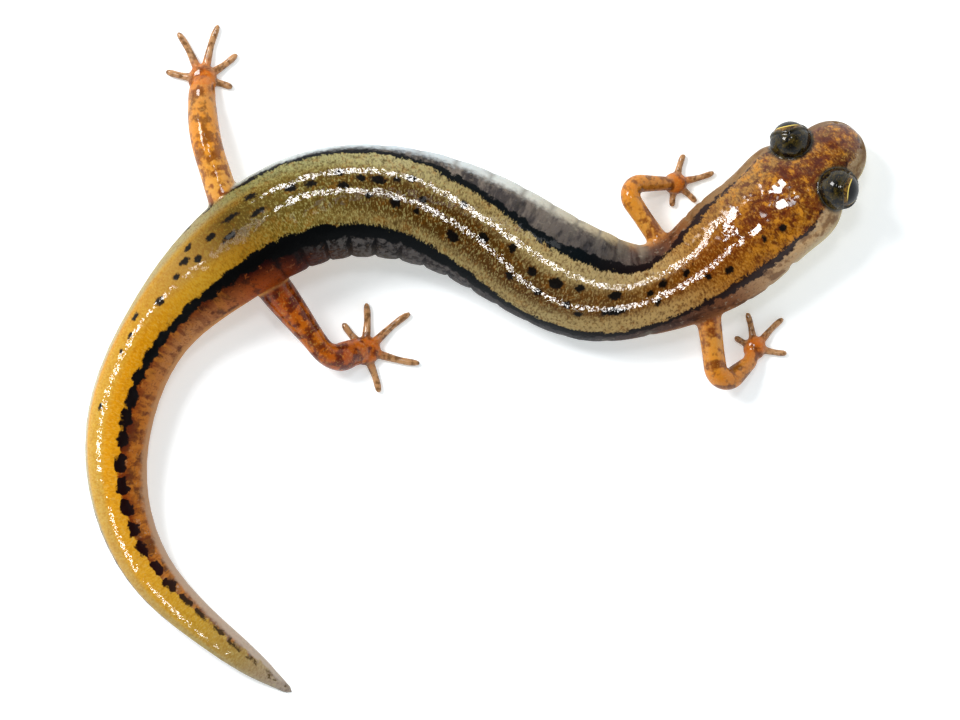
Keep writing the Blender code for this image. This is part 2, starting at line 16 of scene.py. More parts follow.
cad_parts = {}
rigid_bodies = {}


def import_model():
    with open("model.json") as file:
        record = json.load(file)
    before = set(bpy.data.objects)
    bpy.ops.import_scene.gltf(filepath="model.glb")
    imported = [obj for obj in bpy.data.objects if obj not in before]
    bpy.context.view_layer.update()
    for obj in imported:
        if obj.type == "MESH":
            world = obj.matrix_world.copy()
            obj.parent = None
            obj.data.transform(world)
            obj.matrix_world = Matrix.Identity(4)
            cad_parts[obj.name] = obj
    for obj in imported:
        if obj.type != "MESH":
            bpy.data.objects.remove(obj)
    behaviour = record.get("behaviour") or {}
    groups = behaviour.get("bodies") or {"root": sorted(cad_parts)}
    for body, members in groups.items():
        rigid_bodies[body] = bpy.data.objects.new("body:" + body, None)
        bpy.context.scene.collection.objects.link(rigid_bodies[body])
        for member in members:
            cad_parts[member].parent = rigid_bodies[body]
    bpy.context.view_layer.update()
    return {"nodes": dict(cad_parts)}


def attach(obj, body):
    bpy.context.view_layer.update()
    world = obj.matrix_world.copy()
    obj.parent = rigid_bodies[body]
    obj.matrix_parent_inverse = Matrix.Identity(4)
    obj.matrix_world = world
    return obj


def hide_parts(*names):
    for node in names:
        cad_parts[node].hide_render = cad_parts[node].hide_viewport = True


for leftover in list(bpy.data.objects):
    bpy.data.objects.remove(leftover)
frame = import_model()
MM = 0.001


def piece(name, data):
    """A new object for a mesh, lamp or camera, put into the scene."""
    made = bpy.data.objects.new(name, data)
    bpy.context.scene.collection.objects.link(made)
    return made


# %% [markdown]
# ## Camera
# The photograph looks straight down on the animal. A long lens from 450 mm gives the same flat
# view, with one picture width covering 67.2 mm of floor at the height of the animal's middle.

# %% Set up the camera
PICTURE_WIDTH = 67.2
CAMERA_PLACE = (0.315, -0.035, 450.0)
MIDDLE_HEIGHT = 2.8
SENSOR_WIDTH = 36.0
eye_piece = bpy.data.cameras.new("camera_above")
eye_piece.sensor_width = SENSOR_WIDTH
eye_piece.lens = SENSOR_WIDTH * (CAMERA_PLACE[2] - MIDDLE_HEIGHT) / PICTURE_WIDTH
eye_piece.clip_start = 10 * MM
eye_piece.clip_end = 5000 * MM
camera = piece("camera_above", eye_piece)
camera.location = [value * MM for value in CAMERA_PLACE]
bpy.context.scene.camera = camera
print("lens in mm:", round(eye_piece.lens, 1))

# %% [markdown]
# ## Light and floor
# Wet skin shows its light as much as its colour. The main panel stands halfway up, over the far
# left corner of the table: it draws the bright lines along the back and leaves a faint shadow on
# the near side. A weaker one hangs nearly overhead, so that each eye shows two points of light.
# The room is bright low down and dim overhead, because the back mirrors what is above it and its
# dark stripes must stay dark. The floor glows a little, like the opal sheet of a light table.

# %% Hang the lamps
TABLE_MIDDLE = Vector((0, 0, 0))


def soft_panel(name, place, side, watts, colour):
    """A square soft light at place, pointed at the middle of the table; sizes in millimetres."""
    light = bpy.data.lights.new(name, "AREA")
    light.shape = "SQUARE"
    light.size = side * MM
    light.energy = watts
    light.color = colour
    holder = piece(name, light)
    holder.location = Vector(place) * MM
    holder.rotation_mode = "QUATERNION"
    holder.rotation_quaternion = (TABLE_MIDDLE - Vector(place)).to_track_quat("-Z", "Y")


soft_panel("panel_main", (-208, 169, 270), 120, 1.25, (1.0, 0.98, 0.96))
soft_panel("panel_overhead", (0, 119, 339), 60, 0.20, (0.96, 0.98, 1.0))
print("lights:", [light.name for light in bpy.data.lights])

# %% Light the room
room = bpy.data.worlds.new("pale_room")
room.use_nodes = True
room_nodes, room_links = room.node_tree.nodes, room.node_tree.links
direction = room_nodes.new("ShaderNodeTexCoord")
parts = room_nodes.new("ShaderNodeSeparateXYZ")
ceiling = room_nodes.new("ShaderNodeMapRange")
ceiling.interpolation_type = "SMOOTHSTEP"
for socket, value in (("From Min", 0.35), ("From Max", 0.95), ("To Min", 1.25), ("To Max", 0.12)):
    ceiling.inputs[socket].default_value = value
room_links.new(direction.outputs["Generated"], parts.inputs["Vector"])
room_links.new(parts.outputs["Z"], ceiling.inputs["Value"])
room_links.new(ceiling.outputs["Result"], room_nodes["Background"].inputs["Strength"])
room_nodes["Background"].inputs["Color"].default_value = (0.94, 0.97, 1.0, 1)
bpy.context.scene.world = room
bpy.context.scene.view_settings.view_transform = "Standard"
print("room:", room.name)

# %% [markdown]
# ## A small bench for materials
# Every finish here is a chain of small mathematical steps. These helpers add one step each, so
# that a recipe reads from top to bottom like the layers of paint on a museum cast.

# %% Material helpers
class Bench:
    """Adds nodes to one material; each method returns the output to use next."""

    def __init__(self, name):
        self.material = bpy.data.materials.new(name)
        self.material.use_nodes = True
        self.tree = self.material.node_tree
        self.shader = self.tree.nodes["Principled BSDF"]

    def feed(self, socket, value):
        """Link an output to a socket, or set the socket to a plain value."""
        if isinstance(value, bpy.types.NodeSocket):
            self.tree.links.new(value, socket)
        else:
            socket.default_value = value

    def add(self, kind, inputs=(), output=0, **settings):
        made = self.tree.nodes.new(kind)
        for key, value in settings.items():
            setattr(made, key, value)
        for socket, value in dict(inputs).items():
            if value is not None:
                self.feed(made.inputs[socket], value)
        return made.outputs[output]

    def number(self, name):
        """A number that the mesh keeps for each point."""
        return self.add("ShaderNodeAttribute", attribute_name=name, output="Fac")

    def vector(self, name):
        return self.add("ShaderNodeAttribute", attribute_name=name, output="Vector")

    def maths(self, kind, a, b=None, c=None):
        return self.add("ShaderNodeMath", {0: a, 1: b, 2: c}, operation=kind)

    def plus(self, a, b):
        return self.maths("ADD", a, b)

    def less(self, a, b):
        return self.maths("SUBTRACT", a, b)

    def times(self, a, b):
        return self.maths("MULTIPLY", a, b)

    def scaled(self, value, factor, offset):
        return self.maths("MULTIPLY_ADD", value, factor, offset)

    def arrows(self, kind, a, b=None, scale=None):
        """One step of maths on directions."""
        return self.add("ShaderNodeVectorMath", {0: a, 1: b, "Scale": scale}, output="Vector", operation=kind)

    def step(self, value, low, high, to_low=0.0, to_high=1.0):
        """Smooth change from to_low to to_high as value goes from low to high."""
        return self.add("ShaderNodeMapRange", {"Value": value, "From Min": low, "From Max": high,
                        "To Min": to_low, "To Max": to_high}, interpolation_type="SMOOTHSTEP")

    def mix(self, share, a, b):
        """Colour a turned towards colour b by share."""
        made = self.tree.nodes.new("ShaderNodeMix")
        made.data_type = "RGBA"
        for number, value in ((0, share), (6, a), (7, b)):
            self.feed(made.inputs[number], (*value, 1) if isinstance(value, tuple) else value)
        return made.outputs[2]

    def layers(self, base, *rows):
        """Colours laid over base, one after the other.

        A row is a pattern, the values where its colour begins and is full, its largest share, the
        colour, and then any number of masks that keep it in its place.
        """
        for pattern, low, high, share, colour, *masks in rows:
            cover = self.step(pattern, low, high, 0.0, share)
            for mask in masks:
                cover = self.times(mask, cover)
            base = self.mix(cover, base, colour)
        return base

    def ramp(self, value, stops):
        """Colours along a value from 0 to 1."""
        out = self.add("ShaderNodeValToRGB", {"Fac": value}, output="Color")
        band = out.node.color_ramp
        while len(band.elements) < len(stops):
            band.elements.new(0.5)
        for element, (place, colour) in zip(band.elements, stops):
            element.position = place
            element.color = (*colour, 1)
        return out

    def noise(self, vector, scale, detail=2.0, roughness=0.5):
        return self.add("ShaderNodeTexNoise", {"Vector": vector, "Scale": scale, "Detail": detail,
                        "Roughness": roughness}, output="Fac")

    def cells(self, vector, scale):
        return self.add("ShaderNodeTexVoronoi", {"Vector": vector, "Scale": scale}, output="Distance")

    def stretch(self, vector, scale):
        """A vector scaled on each axis: a pattern on it is finer where the scale is larger."""
        return self.add("ShaderNodeMapping", {"Vector": vector, "Scale": scale}, output="Vector")

    def millimetres(self):
        """The piece's own place, counted in millimetres."""
        here = self.add("ShaderNodeTexCoord", output="Object")
        return self.stretch(here, (1000, 1000, 1000))

    def bump(self, height, distance, strength=1.0, normal=None):
        return self.add("ShaderNodeBump", {"Height": height, "Distance": distance * MM,
                        "Strength": strength, "Normal": normal}, output="Normal")

    def finish(self, **sockets):
        """Set or link sockets of the shader, and return the material."""
        for name, value in sockets.items():
            self.feed(self.shader.inputs[name.replace("_", " ")], value)
        return self.material


print("bench ready:", len([name for name in vars(Bench) if name[0] != "_"]), "steps to use")

# %% Lay the floor
FLOOR_HALF = 700 * MM
paper = Bench("white_sheet")
grain = paper.noise(paper.millimetres(), 1.5, 3.0)
paper.finish(Base_Color=paper.mix(grain, (0.84, 0.87, 0.90), (0.88, 0.905, 0.93)),
             Roughness=0.7, Normal=paper.bump(grain, 0.02, 0.3),
             Emission_Color=(0.97, 1, 0.96, 1), Emission_Strength=0.32)
corners = [(x * FLOOR_HALF, y * FLOOR_HALF, 0) for x, y in ((-1, -1), (1, -1), (1, 1), (-1, 1))]
floor_mesh = bpy.data.meshes.new("floor_sheet")
floor_mesh.from_pydata(corners, [], [(0, 1, 2, 3)])
floor_mesh.materials.append(paper.material)
floor = piece("floor_sheet", floor_mesh)
print("floor laid")

# %% [markdown]
# ## The body as one rule
# A salamander is a soft tube: a curved line from snout to tail tip, and an oval section at each
# distance along it. Sculpting it by hand would lose the even girth, so the same short tables that
# shape the solids are used here, and smooth curves run through them. Sizes are in millimetres.

# %% The tables of the body
SPINE = (
    (26.65, 16.00), (21.72, 11.18), (17.76, 7.76), (13.76, 5.30),
    (8.72, 5.04), (4.52, 6.76), (0.18, 9.17), (-5.29, 10.92),
    (-11.38, 10.61), (-17.54, 6.97), (-22.09, 2.28), (-24.71, -3.40),
    (-24.99, -9.14), (-22.82, -14.81), (-18.80, -18.94), (-12.88, -23.49),
)
# distance from the snout, half width, rise of the back, depth of the belly
GIRTH = (
    (0.0, 2.52, 1.45, 1.10), (2.5, 2.55, 1.75, 1.35), (3.8, 2.85, 1.98, 1.50),
    (5.4, 3.72, 2.20, 1.75), (8.0, 3.84, 2.42, 2.10), (12.1, 3.84, 2.60, 2.30),
    (14.5, 3.50, 2.66, 2.35), (17.0, 3.16, 2.72, 2.38), (19.2, 3.28, 2.80, 2.42),
    (22.0, 3.98, 2.92, 2.55), (26.5, 4.22, 3.20, 2.85), (33.0, 4.00, 3.35, 2.95),
    (40.0, 4.00, 3.35, 2.95), (43.0, 4.05, 3.30, 2.92), (47.0, 4.02, 3.20, 2.85),
    (50.5, 3.68, 3.05, 2.72), (54.0, 3.00, 2.92, 2.62), (57.1, 2.40, 2.75, 2.55),
    (63.4, 2.15, 2.60, 2.40), (70.4, 1.75, 2.25, 2.05), (77.0, 1.30, 1.78, 1.62),
    (81.1, 1.00, 1.40, 1.30), (85.0, 0.62, 1.00, 0.95), (88.5, 0.14, 0.20, 0.20),
)
# how far the back leans to the animal's left, in degrees
LEAN = (
    (0.0, 15), (5.0, 14), (9.0, 9), (12.6, 2), (15.0, 0), (17.0, -4), (19.0, -13),
    (22.0, -26), (24.5, -30), (27.5, -24), (30.7, -12), (34.3, -1), (37.0, 9),
    (40.5, 18), (44.0, 26), (48.0, 34), (56.0, 36), (63.0, 40), (70.0, 45),
    (77.0, 52), (82.0, 60), (88.5, 72),
)
LIFT = ((0.0, 1.25), (5.0, 1.05), (9.0, 0.65), (13.0, 0.20), (17.0, 0.0), (88.5, 0.0))
KEEL = ((0.0, 0.86), (6.0, 0.88), (14.0, 0.95), (25.0, 1.0), (50.0, 1.0), (62.0, 1.06),
        (74.0, 1.18), (82.0, 1.3), (88.5, 1.4))
SNOUT_LENGTH = 2.55
SNOUT_RISE_LENGTH = 2.1
SNOUT_DEPTH_LENGTH = 1.7
SINK = 0.14
ROUNDNESS = 0.92
print("sections in the table:", len(GIRTH))

# %% Smooth curves through the tables
def spline(knots, values):
    """Natural cubic through (knots, values), as a function of an array."""
    knots = np.asarray(knots, float)
    values = np.asarray(values, float)
    step = np.diff(knots)
    last = len(knots) - 1
    system = np.eye(last + 1)
    target = np.zeros(last + 1)
    for i in range(1, last):
        system[i, i - 1:i + 2] = step[i - 1], 2 * (step[i - 1] + step[i]), step[i]
        target[i] = 6 * ((values[i + 1] - values[i]) / step[i] - (values[i] - values[i - 1]) / step[i - 1])
    bend = np.linalg.solve(system, target)

    def at(distance):
        i = np.clip(np.searchsorted(knots, distance) - 1, 0, last - 1)
        a = (knots[i + 1] - distance) / step[i]
        b = 1 - a
        curve = ((a ** 3 - a) * bend[i] + (b ** 3 - b) * bend[i + 1]) * step[i] ** 2 / 6
        return a * values[i] + b * values[i + 1] + curve

    return at


def column(table, index):
    return spline([row[0] for row in table], [row[index] for row in table])


half_width, rise, depth = column(GIRTH, 1), column(GIRTH, 2), column(GIRTH, 3)
lean_degrees, lift, keel = column(LEAN, 1), column(LIFT, 1), column(KEEL, 1)
chord = np.concatenate([[0], np.cumsum([math.dist(a, b) for a, b in zip(SPINE, SPINE[1:])])])
spine_x = spline(chord, [p[0] for p in SPINE])
spine_y = spline(chord, [p[1] for p in SPINE])
fine = np.linspace(0, chord[-1], 6000)
travel = np.concatenate([[0], np.cumsum(np.hypot(np.diff(spine_x(fine)), np.diff(spine_y(fine))))])
BODY_LENGTH = float(travel[-1])
print("length along the spine in mm:", round(BODY_LENGTH, 2))

# %% [markdown]
# ## Places on the body
# Two questions come back all the time: where is the skin at this distance and this angle round
# the body, and which distance and angle does this point belong to. The markings, the folds and
# the final smoothing all use these two functions.

# %% From body places to points, and back
def spine_at(distance):
    """Points on the spine and unit vectors towards the tail."""
    t = np.interp(distance, travel, fine)
    x, y = spine_x(t), spine_y(t)
    ahead_x, ahead_y = spine_x(t + 0.05) - x, spine_y(t + 0.05) - y
    size = np.hypot(ahead_x, ahead_y)
    return np.stack([x, y], -1), np.stack([ahead_x / size, ahead_y / size], -1)


def rounded(distance, length):
    return np.sqrt(np.clip(1 - np.clip(1 - distance / length, 0, 1) ** 2, 0.0004, 1))


def oval(distance):
    """Half width, rise and depth at a distance, with the snout's rounding."""
    return (half_width(distance) * rounded(distance, SNOUT_LENGTH),
            rise(distance) * rounded(distance, SNOUT_RISE_LENGTH),
            depth(distance) * rounded(distance, SNOUT_DEPTH_LENGTH))


def bent(wave, power):
    """A sine or cosine made fuller or flatter, because the body's section isn't a true oval."""
    return np.sign(wave) * np.abs(wave) ** power


def lowest_point(distance):
    lean = np.radians(lean_degrees(distance))[:, None]
    turn = np.radians(np.arange(60, 301, 6))[None, :]
    side = half_width(distance)[:, None] * bent(np.sin(turn), keel(distance)[:, None])
    reach = np.where(np.cos(turn) > 0, rise(distance)[:, None], depth(distance)[:, None])
    up = bent(np.cos(turn), ROUNDNESS) * reach
    return np.minimum((up * np.cos(lean) - side * np.sin(lean)).min(1), 0)


marks = np.linspace(0, BODY_LENGTH, 120)
centre_height = spline(marks, -lowest_point(marks) - SINK + lift(marks))


def body_frame(distance):
    """Centre, leftward and upward unit vectors of the section at each distance."""
    here, tailward = spine_at(distance)
    lean = np.radians(lean_degrees(distance))
    flat = np.zeros(len(here))
    left = np.stack([tailward[:, 1], -tailward[:, 0], flat], -1)
    centre = np.stack([here[:, 0], here[:, 1], centre_height(distance)], -1)
    rest = np.stack([flat, flat, flat + 1], -1)
    cos, sin = np.cos(lean)[:, None], np.sin(lean)[:, None]
    return centre, left * cos - rest * sin, left * sin + rest * cos


def skin_point(distance, angle):
    """Points of the smooth skin; angle in degrees from the middle of the back to the left."""
    distance, angle = np.broadcast_arrays(np.atleast_1d(distance).astype(float), angle)
    wide, high, low = oval(distance)
    turn = np.radians(angle)
    side = wide * bent(np.sin(turn), keel(distance))
    up = np.where(np.cos(turn) > 0, high, low) * bent(np.cos(turn), ROUNDNESS)
    centre, left, upward = body_frame(distance)
    return centre + left * side[:, None] + upward * up[:, None]


def nearest_distance(points):
    """Distance along the spine nearest to each point."""
    coarse = np.linspace(0, BODY_LENGTH, 360)
    line = spine_at(coarse)[0]
    found = np.empty(len(points))
    for start in range(0, len(points), 20000):
        part = points[start:start + 20000, None, :2] - line[None]
        found[start:start + 20000] = coarse[(part ** 2).sum(-1).argmin(1)]
    for _ in range(4):
        here, tailward = spine_at(found)
        found += np.clip(((points[:, :2] - here) * tailward).sum(1), -0.3, 0.3) * 0.8
        found = np.clip(found, 0, BODY_LENGTH)
    return found


def body_place(points):
    """Distance, angle, side, up and distance outside the skin for each point."""
    distance = nearest_distance(points)
    centre, left, upward = body_frame(distance)
    away = points - centre
    side, up = (away * left).sum(1), (away * upward).sum(1)
    wide, high, low = oval(distance)
    across = (np.abs(side) / wide) ** (1 / keel(distance))
    along = (np.abs(up) / np.where(up > 0, high, low)) ** (1 / ROUNDNESS)
    angle = np.degrees(np.arctan2(across, along))
    angle = np.where(up > 0, angle, 180 - angle) * np.sign(side)
    reach = np.hypot(side, up)
    outside = reach - reach / np.maximum(np.hypot(across, along), 1e-6)
    return distance, angle, side, up, outside


check = skin_point(np.array([20.0, 40.0, 70.0]), np.array([30.0, -60.0, 100.0]))
print("there and back:", np.round(body_place(check)[:2], 2).tolist())

# %% [markdown]
# ## Meshes from arrays
# Blender keeps a mesh as vertices and faces. These helpers turn arrays of places into a mesh and
# back, and make a closed tube from a grid of rings, which is how the trunk starts.

# %% Mesh helpers
def closed_tube(name, rings, first, last):
    """A mesh over rings (rows, sides, 3), closed by one point at each end."""
    rows, sides = rings.shape[:2]
    points = np.concatenate([rings.reshape(-1, 3), [first, last]])
    faces = []
    for row in range(rows - 1):
        for side in range(sides):
            near, far = row * sides + side, row * sides + (side + 1) % sides
            faces.append((near, far, far + sides, near + sides))
    for side in range(sides):
        faces.append(((side + 1) % sides, side, rows * sides))
        tail = (rows - 1) * sides
        faces.append((tail + side, tail + (side + 1) % sides, rows * sides + 1))
    mesh = bpy.data.meshes.new(name)
    mesh.from_pydata(points.tolist(), [], faces)
    return mesh


def outward(mesh):
    """Turn every face outwards."""
    bm = bmesh.new()
    bm.from_mesh(mesh)
    bmesh.ops.recalc_face_normals(bm, faces=bm.faces)
    bm.to_mesh(mesh)
    bm.free()


def read_points(mesh, what="co"):
    flat = np.empty(len(mesh.vertices) * 3, np.float32)
    mesh.vertices.foreach_get(what, flat)
    return flat.reshape(-1, 3).astype(float)


def write_points(mesh, points):
    mesh.vertices.foreach_set("co", points.astype(np.float32).ravel())
    mesh.update()


def store(mesh, name, values):
    """Keep one number for each point of a mesh, for a finish to read."""
    mesh.attributes.new(name, "FLOAT", "POINT").data.foreach_set("value", np.asarray(values, np.float32))


def evaluated_mesh(obj):
    """A plain mesh of the object as its modifiers leave it."""
    bpy.context.view_layer.update()
    return bpy.data.meshes.new_from_object(obj.evaluated_get(bpy.context.evaluated_depsgraph_get()))


def ball_mesh(centre, radii, turn=None, segments=40, rings=24):
    bm = bmesh.new()
    bmesh.ops.create_uvsphere(bm, u_segments=segments, v_segments=rings, radius=1.0)
    matrix = Matrix.Translation(centre) @ (turn or Matrix.Identity(4)) @ Matrix.Diagonal((*radii, 1))
    bmesh.ops.transform(bm, matrix=matrix, verts=bm.verts)
    mesh = bpy.data.meshes.new("ball")
    bm.to_mesh(mesh)
    bm.free()
    return mesh


print("mesh helpers ready")

# %% The trunk, from snout to tail tip
RING_SIDES = 96
RING_STEP = 0.25
TIP_LENGTH = 0.35
last_ring = BODY_LENGTH - TIP_LENGTH
front = SNOUT_LENGTH * (1 - np.cos(np.radians(np.linspace(4, 90, 26))))
behind = np.arange(SNOUT_LENGTH + 0.22, BODY_LENGTH - 0.4, RING_STEP)
distances = np.concatenate([front, behind, [last_ring]])
angles = np.linspace(-180, 180, RING_SIDES + 1)[:-1]
rings = skin_point(np.repeat(distances, len(angles)), np.tile(angles, len(distances)))
rings = rings.reshape(len(distances), len(angles), 3)
snout_tip = body_frame(np.array([0.0]))[0][0]
tail_end, tail_ahead = (v[0] for v in spine_at(np.array([last_ring])))
tail_height = body_frame(np.array([last_ring]))[0][0][2]
tail_tip = np.array([*(tail_end + tail_ahead * TIP_LENGTH), tail_height])
trunk = piece("trunk", closed_tube("trunk", rings, snout_tip, tail_tip))
outward(trunk.data)
print("trunk faces:", len(trunk.data.polygons))

# %% [markdown]
# ## Legs and toes
# Each leg is a soft tube that bends once, and each toe a thin one with a small pad at its tip.
# All 22 follow the same rule, a line with a girth along it, so one Geometry Nodes tree sweeps
# them in one go: the lines go in as a wire mesh, and closed tubes come out.

# %% The tables of the legs
# corner points and girth of each leg, its foot, its toes (heading in degrees and reach), how red it is
LIMBS = {
    "forelimb_left": {
        "points": ((13.90, 6.75, 2.3), (10.10, 12.35, 2.2), (13.35, 12.38, 0.80)),
        "radii": (1.00, 0.66, 0.70, 0.60, 0.50), "foot": (14.05, 12.40), "palm": 0.78,
        "toes": ((73, 2.15), (16, 2.85), (-42, 1.98), (-97, 1.66)),
        "red": 0.25,
    },
    "forelimb_right": {
        "points": ((16.15, 4.3, 2.3), (17.02, -2.20, 2.2), (19.25, -0.22, 0.80)),
        "radii": (1.05, 0.80, 0.80, 0.70, 0.52), "foot": (19.64, 0.80), "palm": 0.80,
        "toes": ((150, 1.60), (102, 2.55), (46, 2.90), (-9, 2.30)),
        "red": 0.35,
    },
    "hindlimb_left": {
        "points": ((-17.0, 9.3, 2.4), (-19.05, 15.6, 1.9), (-19.25, 18.2, 0.85)),
        "radii": (1.30, 1.08, 1.08, 1.06, 0.98), "foot": (-19.20, 19.70), "palm": 1.02,
        "toes": ((167, 2.66), (118, 3.75), (74, 4.00), (37, 3.00), (-15, 2.15)),
        "red": 0.1,
    },
    "hindlimb_right": {
        "points": ((-15.6, 7.0, 2.4), (-10.12, -0.15, 1.9), (-8.75, 0.45, 0.85)),
        "radii": (1.38, 1.02, 0.90, 1.02, 0.95), "foot": (-7.75, 0.62), "palm": 1.02,
        "toes": ((129, 2.50), (89, 3.35), (40, 4.10), (-13, 3.90), (-72, 3.10)),
        "red": 1.0,
    },
}
LIMB_BEND = 1.7
PALM_HEIGHT = 0.44
PALM_THICKNESS = 0.52
PALM_LENGTH = 1.08
HIND_TOE_SIZE = 1.12
TOE_BOW = 0.05
TOE_RADIUS = 0.27
TOE_HEIGHT = 0.235
TOE_SHAPE = ((0.0, 1.20), (0.35, 1.00), (0.62, 0.80), (0.84, 0.84), (0.95, 0.68), (1.0, 0.36))
KNEE, ANKLE = 18, 32
print("legs:", list(LIMBS))


# %% The centre lines of legs and toes
def limb_line(spec):
    """Centre line and girth of a leg from its root to the middle of the foot."""
    root, corner, end = (Vector(point) for point in spec["points"])
    upper, lower = (corner - root).length, (end - corner).length
    bend = min(LIMB_BEND, upper * 0.6, lower * 0.7)
    start, stop = corner.lerp(root, bend / upper), corner.lerp(end, bend / lower)
    half_angle = (start - corner).angle(stop - corner) / 2
    inward = ((start + stop) / 2 - corner).normalized()
    middle = corner + inward * bend / math.cos(half_angle)
    radius = (start - middle).length
    line = [root.lerp(start, i / 12) for i in range(12)]
    line += [middle + (start - middle).slerp(stop - middle, i / 12) * radius for i in range(13)]
    line += [stop.lerp(end, (i + 1) / 8) for i in range(8)]
    line = np.array(line)
    along = np.concatenate([[0], np.cumsum(np.linalg.norm(np.diff(line, axis=0), axis=1))])
    knots = (0, along[KNEE] * 0.6, along[KNEE], (along[KNEE] + along[-1]) / 2, along[-1])
    girth = spline(knots, spec["radii"])(along)
    foot = np.array([*spec["foot"], PALM_HEIGHT])
    for share, size in ((0.35, 0.98), (0.7, 0.9), (1.0, 0.7)):
        line = np.concatenate([line, [line[ANKLE] + (foot - line[ANKLE]) * share]])
        girth = np.append(girth, spec["radii"][-1] * size)
    return line, girth


def toe_line(spec, heading, reach, bow):
    """Centre line and girth of a toe, from the middle of the palm to its tip."""
    share = np.linspace(0, 1, 18)
    size = 1.0 if len(spec["toes"]) == 4 else HIND_TOE_SIZE
    turn = math.radians(heading)
    out = share * reach
    aside = bow * reach * np.sin(np.pi * share) * share
    drop = PALM_HEIGHT + (TOE_HEIGHT - PALM_HEIGHT) * np.clip(share * 1.8, 0, 1)
    line = np.stack([spec["foot"][0] + out * math.cos(turn) - aside * math.sin(turn),
                     spec["foot"][1] + out * math.sin(turn) + aside * math.cos(turn), drop], -1)
    shape = np.interp(share, *zip(*TOE_SHAPE))
    return line, shape * TOE_RADIUS * size


lines = [limb_line(spec) for spec in LIMBS.values()]
limb_lines = list(lines)
for spec in LIMBS.values():
    for number, (heading, reach) in enumerate(spec["toes"]):
        lines.append(toe_line(spec, heading, reach, TOE_BOW * (-1) ** number))
print("lines to sweep:", len(lines))


# %% The sweeping tree
def sweep_tree():
    """Geometry Nodes: wire with a girth on each point in, closed round tubes out."""
    tree = bpy.data.node_groups.new("sweep_tubes", "GeometryNodeTree")
    for name, way, kind in (("Wire", "INPUT", "Geometry"), ("Sides", "INPUT", "Int"),
                            ("Girth scale", "INPUT", "Float"), ("Skin", "INPUT", "Material"),
                            ("Tubes", "OUTPUT", "Geometry")):
        tree.interface.new_socket(name, in_out=way, socket_type="NodeSocket" + kind)
    entry, leave, curve, girth, scaled, circle, tube, real, coat = (tree.nodes.new(kind) for kind in (
        "NodeGroupInput", "NodeGroupOutput", "GeometryNodeMeshToCurve", "GeometryNodeInputNamedAttribute",
        "ShaderNodeMath", "GeometryNodeCurvePrimitiveCircle", "GeometryNodeCurveToMesh",
        "GeometryNodeRealizeInstances", "GeometryNodeSetMaterial"))
    girth.inputs["Name"].default_value = "girth"
    scaled.operation = "MULTIPLY"
    circle.inputs["Radius"].default_value = 1.0
    tube.inputs["Fill Caps"].default_value = True
    for source, output, target, entrance in (
            (entry, "Wire", curve, "Mesh"), (entry, "Sides", circle, "Resolution"),
            (girth, "Attribute", scaled, 0), (entry, "Girth scale", scaled, 1),
            (curve, "Curve", tube, "Curve"), (circle, "Curve", tube, "Profile Curve"),
            (scaled, "Value", tube, "Scale"), (tube, "Mesh", real, "Geometry"),
            (real, "Geometry", coat, "Geometry"), (entry, "Skin", coat, "Material"),
            (coat, "Geometry", leave, "Tubes")):
        tree.links.new(source.outputs[output], target.inputs[entrance])
    return tree


def run_tree(obj, tree, values):
    """Give a tree its named inputs, evaluate it once and keep the plain mesh."""
    modifier = obj.modifiers.new(tree.name, "NODES")
    modifier.node_group = tree
    for item in tree.interface.items_tree:
        if item.in_out == "INPUT" and item.name in values:
            modifier[item.identifier] = values[item.name]
    made = evaluated_mesh(obj)
    obj.modifiers.remove(modifier)
    obj.data = made
    return obj


tubes = sweep_tree()
print("tree inputs:", [item.name for item in tubes.interface.items_tree if item.in_out == "INPUT"])

# %% Sweep the legs and toes
hide = Bench("wet_skin")
wire_points = np.concatenate([line for line, _ in lines])
wire_edges, offset = [], 0
for line, _ in lines:
    wire_edges += [(offset + i, offset + i + 1) for i in range(len(line) - 1)]
    offset += len(line)
wire = bpy.data.meshes.new("legs")
wire.from_pydata(wire_points.tolist(), wire_edges, [])
store(wire, "girth", np.concatenate([girth for _, girth in lines]))
legs = run_tree(piece("legs", wire), tubes, {"Sides": 20, "Girth scale": 1.0, "Skin": hide.material})
outward(legs.data)
print("leg faces:", len(legs.data.polygons), "lowest mm:", round(read_points(legs.data)[:, 2].min(), 3))

# %% [markdown]
# ## Palms and eye mounds
# The palms are small flat pads. Each eye lifts the skin of the head into a dome, which is later
# opened between the lids. Both start as simple balls, because the next step melts them in.

# %% Palms and mounds
EYE_ALONG, EYE_SIDE, EYE_UP = 3.85, 2.42, 1.48
MOUND_RADIUS = 1.46
GAZE = (0.52, 0.78, 0.34)
starts = [trunk.data, legs.data]
for spec, (line, _) in zip(LIMBS.values(), limb_lines):
    heading = math.atan2(spec["foot"][1] - line[ANKLE][1], spec["foot"][0] - line[ANKLE][0])
    size = spec["palm"]
    starts.append(ball_mesh((*spec["foot"], PALM_HEIGHT), (size * PALM_LENGTH, size, PALM_THICKNESS),
                            Matrix.Rotation(heading, 4, "Z")))
head_centre, head_left, head_up = (v[0] for v in body_frame(np.array([EYE_ALONG])))
head_back = np.append(spine_at(np.array([EYE_ALONG]))[1][0], 0.0)
eyes = {}
for name, side in (("left", 1), ("right", -1)):
    centre = head_centre + head_left * EYE_SIDE * side + head_up * EYE_UP
    forward, out, raised = GAZE
    look = -head_back * forward + head_left * out * side + head_up * raised
    look /= np.linalg.norm(look)
    lifted = head_up - look * (head_up @ look)
    lifted /= np.linalg.norm(lifted)
    eyes[name] = {"centre": centre, "look": look, "lifted": lifted, "fore": np.cross(look, lifted)}
    starts.append(ball_mesh(centre, (MOUND_RADIUS,) * 3))
print("eyes at", [np.round(eye["centre"], 2).tolist() for eye in eyes.values()])

# %% [markdown]
# ## One skin
# The overlapping pieces become one closed surface with a voxel remesh, the digital form of
# dipping them all in wax. Voxels leave small steps, so a smoothing that keeps volume follows, and
# then the trunk's points are put back exactly on the rule of the body.

